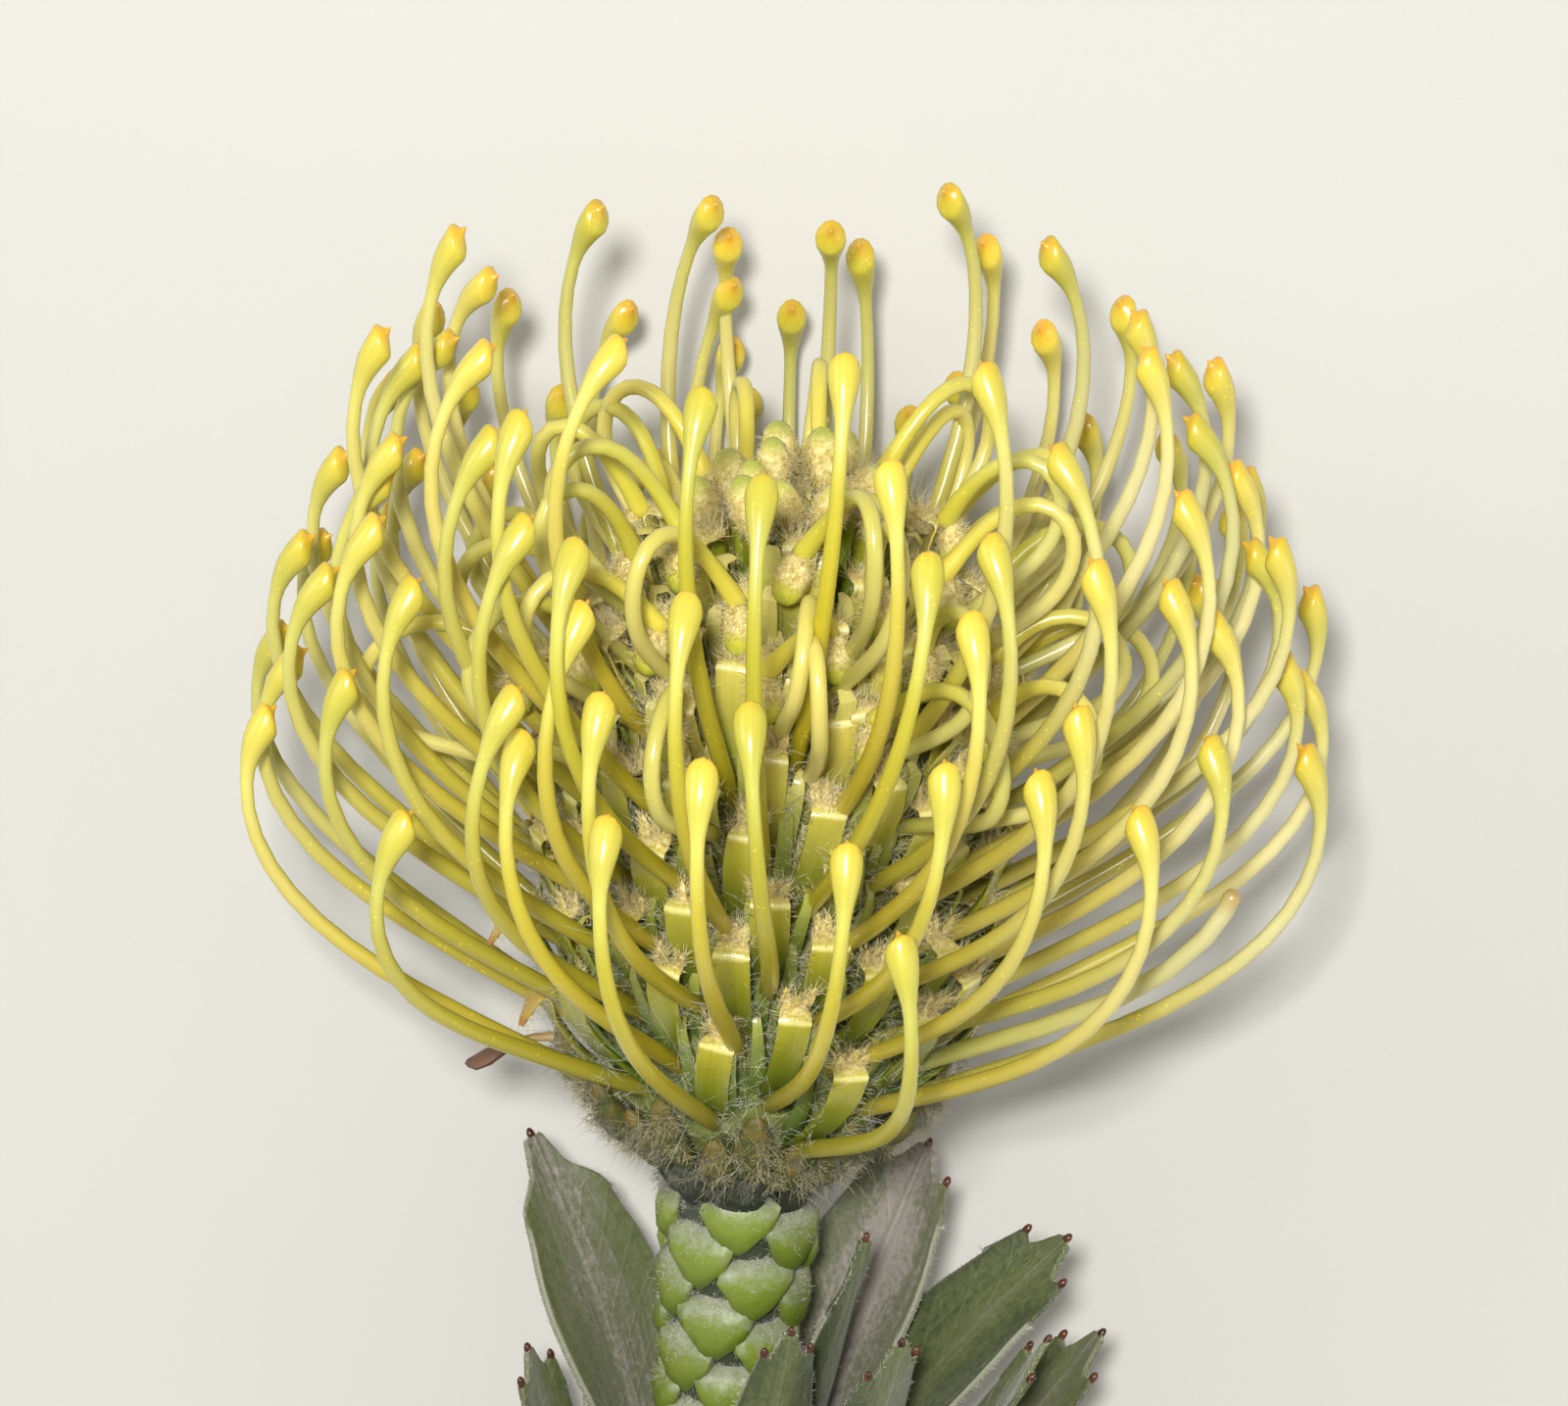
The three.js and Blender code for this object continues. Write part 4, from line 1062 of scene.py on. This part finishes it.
def rounded(corners, steps):
    """A smooth curve (a cubic B-spline) along a row of corners, from the first to the last."""
    corners = np.array(corners, float)
    corners = np.concatenate((2 * corners[:1] - corners[1:2], corners,
                              2 * corners[-1:] - corners[-2:-1]))
    place = np.linspace(0, len(corners) - 3, steps)
    k = np.minimum(place.astype(int), len(corners) - 4)
    x = (place - k)[:, None]
    weights = ((1 - x) ** 3, 3 * x ** 3 - 6 * x ** 2 + 4, -3 * x ** 3 + 3 * x ** 2 + 3 * x + 1, x ** 3)
    return sum(weight / 6 * corners[k + n] for n, weight in enumerate(weights))


pattern = take_pattern(draw_up(10, [
    (0, 0.74, 0.74), (5, 0.73, 0.73), (10, 0.72, 0.71), (14, 0.71, 0.69)]
    + [(height, 0.7, 0.68) for height in np.arange(16.5, 37, 1.25)]
    + [(38, 0.69, 0.67), (39.5, 0.71, 0.69), (41, 0.77, 0.75), (42.2, 0.85, 0.83), (43.2, 0.9, 0.87),
       (HOOP_LENGTH, 0.85, 0.85)]))
hoop = pattern["points"]
copies, owns, pales, held_tips = [], [], [], []
for i in range(OPEN, OPEN + LOOPS):
    azimuth, along, slope_degrees, age, _ = floret(i)
    slope = math.radians(slope_degrees)
    held = FLORET_LENGTH + 1.5 * sway(i, 2)
    rise, bow = 0.36 * (22 + 4 * sway(i, 3)), 0.49 * (mix(22, 15, age) + 4 * sway(i, 4))
    # The hoops in front lean over furthest, so that one sees into them
    lean = math.copysign(HOOP_LEAST_LEAN + 2.5 * abs(sway(i, 5)) + 3.5 * max(math.cos(azimuth), 0),
                         sway(i, 5))
    up, out = rounded(((0.1 * held, 0), (0.35 * held, 0.14 * bow), (0.6 * held, 0.38 * bow),
                       (0.82 * held, 0.66 * bow), (held, 0.92 * bow),
                       (held + 0.5 * rise, 1.08 * bow), (held + 1.05 * rise, 0.95 * bow),
                       (held + 1.25 * rise, 0.55 * bow), (held + 1.05 * rise, 0.2 * bow),
                       (held + 0.55 * rise, 0.02 * bow), (held, 0)), HOOP_STEPS).T
    radius = cone_radius(along) - 1 + up * math.cos(slope) + out * math.sin(slope)
    height = along + up * math.sin(slope) - out * math.cos(slope)
    x = np.linspace(0, 1, HOOP_STEPS)
    line = place_round(radius, azimuth, height) + np.multiply.outer(
        3 * lean * x * (1 - x), tangent(azimuth))
    copies.append(lay_along(hoop, line, tangent(azimuth)))
    owns.append(share_draw(i, 7))
    # Hoops are at least this pale; above that, on the flanks, the paleness is partly painted light
    pales.append(max(bleached_and_lit_share(azimuth), HOOP_LEAST_PALE))
    held_tips.append((i, azimuth, line[-1], slope))
add_to_bloom("looped_styles", pattern, copies, tissue_values(pattern, owns, pales, STYLE_RADIUS),
             hoop_wax, crease=180)


# Held tips and buds
# The tips of a young floret's ribbons stay joined in a small ribbed acorn that holds the end of the
# style. Its free end is smooth and yellow-green, and cream wool covers the end that holds.
ACORN_LENGTH, ACORN_RIB = 4.3, 0.07
TUBE_LENGTH, TUBE_LAST_SHADE = 22, 0.72
acorn_skin = tissue(
    "floret_acorn", ((0.0, "#BFAE5A"), (0.35, "#CCC24C"), (0.65, "#C6C444"), (1.0, "#AAB43C")),
    roughness=0.42, relief_depth=0.2, subsurface=0.2, felt=(0.62, 0.4))
bud_skin = tissue(
    "woolly_green_bud", ((0.0, "#B4B250"), (0.5, "#BCBC54"), (0.8, "#B9B84E"), (1.0, "#A9AE48")),
    roughness=0.5, relief_depth=0.3, subsurface=0.2, felt=(0.95, 0.72))
pattern = take_pattern(draw_up(12, [
    (0, 0.7, 0.6), (0.5, 1.0, 0.86), (1.2, 1.22, 1.12), (2.1, 1.32, 1.25), (3.0, 1.24, 1.17),
    (3.7, 0.98, 0.92), (4.15, 0.55, 0.5), (ACORN_LENGTH, 0, 0)]))
acorn = pattern["points"]
acorn[:, :2] *= (1 + ACORN_RIB * np.cos(6 * np.arctan2(acorn[:, 1], acorn[:, 0])))[:, None]
copies, owns, acorns = [], [], []


def floret_directions(azimuth, slope):
    """The directions up a floret of that slope, in radians, and out from it."""
    radial = place_round(1, azimuth, 0) - HEAD_BASE
    return (math.cos(slope) * radial + math.sin(slope) * AXIS,
            math.sin(slope) * radial - math.cos(slope) * AXIS)


for i, azimuth, tip, slope in held_tips:
    up, out = floret_directions(azimuth, slope)
    front = sway(i, 23) > -0.6
    heading = unit((0.6 if front else -0.4) * out - up + 0.3 * sway(i, 24) * tangent(azimuth))
    start = tip + 0.5 * up + (0.5 if front else -0.2) * out
    line = start + heading * np.linspace(0, ACORN_LENGTH, 8)[:, None]
    copies.append(lay_along(acorn * (1 + 0.12 * sway(i, 25)), line, tangent(azimuth)))
    owns.append(share_draw(i, 26))
    acorns.append((start, heading, tangent(azimuth), 1.0))
add_to_bloom("floret_acorns", pattern, copies, tissue_values(pattern, owns), acorn_skin, crease=180)

# The youngest florets at the tip are still closed and woolly all over. The tube that carries such a
# bud is a young ribbon, closed, as green as a ribbon below its fold.
tube_pattern = take_pattern(draw_up(8, [
    (0, 1.1, 1.1), (8, 1.15, 1.1), (16, 1.1, 1.05), (20, 1.05, 1.0), (TUBE_LENGTH, 1.05, 1.0)]))
tube = tube_pattern["points"]
copies, owns, buds, tubes = [], [], [], []
for i in range(OPEN + LOOPS, OPEN + LOOPS + BUDS):
    azimuth, _, slope, _, _ = floret(i)
    up, out = floret_directions(azimuth, math.radians(slope))
    top = bent_line(i, FLORET_LENGTH - 3.5 + 1.5 * sway(i, 2), slope, slope, 1)[-1]
    heading = unit(up + (0.25 + 0.4 * sway(i, 27)) * out + 0.3 * sway(i, 28) * tangent(azimuth))
    size = 1.18 + 0.12 * sway(i, 25)
    line = top + heading * np.linspace(-0.5, ACORN_LENGTH * size, 8)[:, None]
    copies.append(lay_along(acorn * size, line, tangent(azimuth)))
    owns.append(share_draw(i, 26))
    buds.append((line[0], heading, tangent(azimuth), size))
    tube_line = bent_line(i, FLORET_LENGTH - 3.3 + 1.5 * sway(i, 2), slope, slope, 1)
    tubes.append(lay_along(tube, tube_line, tangent(azimuth)))
add_to_bloom("floret_buds", pattern, copies, tissue_values(pattern, owns), bud_skin, crease=180)
add_to_bloom("bud_tubes", tube_pattern, tubes, {
    "own": [share_draw(i, 29) for i in range(BUDS)],
    "along": tube[:, 2] / TUBE_LENGTH * TUBE_LAST_SHADE, "across": tube[:, 0]}, strap_skin)


# Floret hair
# Every floret is hairy: cream and golden wool on the shelf, the lobes and the acorn, long silver hair
# along the edges of its ribbons, and silver down in the depths between them.
BUD_HAIRS, ACORN_HAIRS, LOBE_HAIRS, LOBE_HAIRS_SWAY = 900, 420, 75, 40
CREST_HAIRS, DOME_CREST_HAIRS, DRY_CREST_HAIRS, FIRST_WOOLLY_CREST = 90, 165, 40, 60
EDGE_HAIRS, CURL_HAIRS, DEPTH_HAIRS, APEX_HAIRS, APEX_SPREAD = 78, 14, 26000, 350, 5
# Half the thickness of a hair
WOOL_HALF, TIP_WOOL_HALF, EDGE_HAIR_HALF = 0.036, 0.034, 0.022
DEPTH_HAIR_HALF, DOME_HAIR_HALF, APEX_HAIR_HALF = 0.024, 0.04, 0.034
rng = np.random.default_rng(37)
golden, silver = [], []
for n, (start, heading, across, size) in enumerate(acorns + buds):
    normal = unit(np.cross(heading, across))
    woolly_all_over = n >= len(acorns)
    for _ in range(BUD_HAIRS if woolly_all_over else ACORN_HAIRS):
        height = size * (rng.uniform(-0.4, 4.2) if woolly_all_over else rng.triangular(-0.4, 0.6, 3.2))
        angle = rng.uniform(0, 2 * math.pi)
        reach = size * np.interp(height / size, (-0.4, 0.5, 1.2, 2.1, 3.0, 3.7, 4.3),
                                 (0.4, 0.95, 1.18, 1.28, 1.2, 0.95, 0.1))
        radial = math.cos(angle) * across + math.sin(angle) * normal
        golden.append((start + heading * height + radial * reach * 0.95,
                       radial * rng.uniform(0.3, 1.1) - heading * rng.uniform(-0.5, 0.8)
                       + 0.35 * rng.normal(size=3),
                       rng.uniform(0.3, 0.8 if woolly_all_over else 1.3), 0.3 * rng.normal(size=3),
                       rng.uniform()))
for n, (start, heading, azimuth) in enumerate(lobes):
    across = tangent(azimuth)
    normal = unit(np.cross(heading, across))
    for _ in range(round(LOBE_HAIRS + LOBE_HAIRS_SWAY * sway(n // 3, 36))):
        height, angle = rng.uniform(-0.5, 2.0), rng.uniform(0, 2 * math.pi)
        radial = math.cos(angle) * across + math.sin(angle) * normal
        golden.append((start + heading * height + radial * 0.25,
                       0.6 * radial + heading * rng.uniform(0.5, 1.5) + 0.3 * rng.normal(size=3),
                       rng.uniform(0.5, 1.7), 0.25 * rng.normal(size=3), rng.uniform()))
for i, azimuth, crest, up, inward, end, _, dry in crests:
    across = tangent(azimuth)
    count = CREST_HAIRS if i < FIRST_WOOLLY_CREST else DOME_CREST_HAIRS
    for _ in range(DRY_CREST_HAIRS if dry else round(count * (1 + 0.5 * sway(i, 37)))):
        root = mix(crest, end, rng.uniform(0.02, 1)) + across * rng.uniform(-1.4, 1.4)
        golden.append((root + 0.2 * up, (-0.3 if dry else 1.0) * up * rng.uniform(0.4, 1.3)
                       + across * rng.uniform(-0.6, 0.6) + 0.35 * rng.normal(size=3),
                       rng.uniform(0.6, 2.2), 0.35 * rng.normal(size=3), rng.uniform()))
    for _ in range(EDGE_HAIRS):
        flank = rng.choice((-1, 1))
        silver.append((crest + across * flank * 1.4 - up * rng.uniform(-0.2, 10) - inward * 0.2,
                       across * flank * rng.uniform(0.2, 1.0) + up * rng.uniform(0.2, 1.2)
                       - inward * rng.uniform(-0.2, 0.8) + 0.25 * rng.normal(size=3),
                       rng.uniform(0.8, 2.3), 0.5 * rng.normal(size=3), rng.uniform()))
for end, up in curl_ends:
    for _ in range(CURL_HAIRS):
        golden.append((end + 0.5 * rng.normal(size=3), 0.4 * up + 0.8 * rng.normal(size=3),
                       rng.uniform(0.4, 1.1), 0.3 * rng.normal(size=3), rng.uniform()))
# The golden wool is one coat, in two pieces so that neither is too heavy
half = len(golden) // 2
sow_hairs("floret_wool", "bloom", golden_hair, golden[:half], WOOL_HALF, wool_pattern)
sow_hairs("floret_wool_tips", "bloom", golden_hair, golden[half:], TIP_WOOL_HALF, wool_pattern)
sow_hairs("ribbon_edge_hair", "bloom", silver_hair, silver, EDGE_HAIR_HALF)

# Low down the depths are silver and green, and from the middle of the dome upwards cream and golden
down, cream_down = [], []
for n in range(DEPTH_HAIRS):
    azimuth, along = rng.uniform(0, 2 * math.pi), rng.uniform(2, 51)
    radius = np.interp(along, *np.array(CORE_PROFILE).T)
    hair = (place_round(radius - 0.2, azimuth, along),
            place_round(1.0, azimuth, rng.uniform(0.2, 1.4)) - HEAD_BASE + 0.5 * rng.normal(size=3),
            rng.uniform(1.4, 4.2), 0.6 * rng.normal(size=3), rng.uniform())
    if rng.uniform(18, 34) < along:
        cream_down.append(hair)
    elif n % 2:
        down.append(hair)
sow_hairs("depth_down", "bloom", silver_hair, down, DEPTH_HAIR_HALF)
sow_hairs("dome_down", "bloom", golden_hair, cream_down, DOME_HAIR_HALF, wool_pattern)

# The very tip of the cone, between the buds, is filled with grey-mauve fuzz
mauve_fuzz = hair_material("mauve_apex_fuzz", "#AA9CA0", "#E0D6D4", "#C4B4B8")
fuzz = []
for _ in range(APEX_HAIRS):
    azimuth, spread = rng.uniform(0, 2 * math.pi), APEX_SPREAD * math.sqrt(rng.uniform())
    along = np.interp(spread, (0, 8), (57.5, 52)) + rng.uniform(-4, 2.5)
    fuzz.append((place_round(spread, azimuth, along),
                 AXIS + 0.5 * rng.normal(size=3), rng.uniform(0.8, 2.2), 0.3 * rng.normal(size=3),
                 rng.uniform()))
sow_hairs("apex_fuzz", "bloom", mauve_fuzz, fuzz, APEX_HAIR_HALF, wool_pattern)


# Withered style
# One spent style has died back, dried brown and shrunk. It hangs from the underside at the left,
# and its club has withered to a flat tag.
WITHERED_LENGTH, WITHERED_AZIMUTH = 9.5, math.radians(-82)
# radius and height along it, outwards from the head
WITHERED_PATH = ((17.5, 10.0), (20, 9.8), (22.5, 8.2), (24.0, 7.3), (25.0, 7.2))
withered_skin = tissue(
    "dried_brown_style", ((0.0, "#A48B50"), (0.5, "#7A573C"), (1.0, "#5E3F2B")),
    roughness=0.6, relief_depth=0.15, subsurface=0.0)
pattern = take_pattern(draw_up(8, [
    (0, 0.5, 0.45), (2, 0.42, 0.35), (4, 0.45, 0.4), (5.5, 0.75, 0.5), (7, 1.2, 0.62),
    (8.4, 1.05, 0.55), (9.2, 0.5, 0.3), (WITHERED_LENGTH, 0, 0)]))
radii, heights = np.array(WITHERED_PATH).T
line = place_round(radii, WITHERED_AZIMUTH, heights)
steps = np.linspace(0, 4, 25)
line = np.stack([np.interp(steps, range(5), line[:, k]) for k in range(3)], axis=1)
withered = make_piece(
    "withered_style", pattern,
    [lay_along(pattern["points"], line, tangent(WITHERED_AZIMUTH))], tissue_values(pattern, [0.4]))
fit_out(withered, "bloom", withered_skin)


# Studio
# A plain pale table, one small soft key light near the camera, a wide soft light from each side, and
# a camera that looks down on the flower as the photograph looks at it.
HEAD_CENTRE_HEIGHT, CAMERA_DISTANCE = 44.0, 450.0
CAMERA_LIFT, CAMERA_ROLL = math.radians(22), math.radians(5)
LENS, SENSOR = 122.5, 36.0
AIM_SHIFT = (-0.17, -2.02)
TABLE_SIZE, TABLE_GREY, TABLE_PALE = 6, "#BFBEBA", "#C4C3BF"
# Name, place and size in metres, watts, tint
LIGHTS = (
    ("key_light", (0.04, -0.13, 0.62), 0.06, 3.85, (1.0, 0.99, 0.96)),
    ("left_light", (0.7, -0.2, 0.5), 0.5, 1.4, (1.0, 1.0, 1.0)),
    ("right_light", (-0.8, 0.1, 0.45), 0.6, 1.25, (1.0, 0.98, 0.95)),
)
ROOM_TINT, ROOM_STRENGTH = (0.94, 0.91, 0.84, 1), 0.5

table_paint = new_material("pale_table")
cloud = noise(table_paint, object_place(table_paint), 3, 3)
finish_material(table_paint, {
    "Base Color": ramp(table_paint, cloud, (0.3, TABLE_GREY), (0.7, TABLE_PALE)),
    "Roughness": 0.75})
bpy.ops.object.select_all(action="DESELECT")
bpy.ops.mesh.primitive_plane_add(size=TABLE_SIZE, location=(0, 0, 0))
table = bpy.context.object
table.name = "table"
table.data.materials.append(table_paint)

back = math.cos(CAMERA_LIFT) * UP + math.sin(CAMERA_LIFT) * AXIS
axis_seen = unit(AXIS - back * AXIS.dot(back))
picture_up = math.cos(CAMERA_ROLL) * axis_seen - math.sin(CAMERA_ROLL) * RIGHT
picture_right = math.cos(CAMERA_ROLL) * RIGHT + math.sin(CAMERA_ROLL) * axis_seen
head_centre = place_round(0, 0, HEAD_CENTRE_HEIGHT)
eye = (head_centre + AIM_SHIFT[0] * picture_right + AIM_SHIFT[1] * picture_up
       + CAMERA_DISTANCE * back)
camera_data = bpy.data.cameras.new("camera")
camera_data.lens, camera_data.sensor_width, camera_data.sensor_fit = LENS, SENSOR, "HORIZONTAL"
camera_data.clip_start, camera_data.clip_end = 0.01, 20
camera = bpy.data.objects.new("camera", camera_data)
turned = np.column_stack((picture_right, picture_up, back))
camera.matrix_world = Matrix.Translation(Vector(eye * MM)) @ Matrix(turned.tolist()).to_4x4()
bpy.context.scene.collection.objects.link(camera)
bpy.context.scene.camera = camera

# Each light is a round soft one that looks at the bloom
target = Vector(head_centre * MM)
for name, place, size, watts, tint in LIGHTS:
    light = bpy.data.lights.new(name, "AREA")
    light.shape, light.size, light.energy, light.color = "DISK", size, watts, tint
    lamp = bpy.data.objects.new(name, light)
    lamp.location = place
    lamp.rotation_euler = (target - Vector(place)).to_track_quat("-Z", "Y").to_euler()
    bpy.context.scene.collection.objects.link(lamp)
world = bpy.data.worlds.new("studio")
world.use_nodes = True
world.node_tree.nodes["Background"].inputs["Color"].default_value = ROOM_TINT
world.node_tree.nodes["Background"].inputs["Strength"].default_value = ROOM_STRENGTH
bpy.context.scene.world = world
bpy.context.scene.view_settings.view_transform = "Standard"
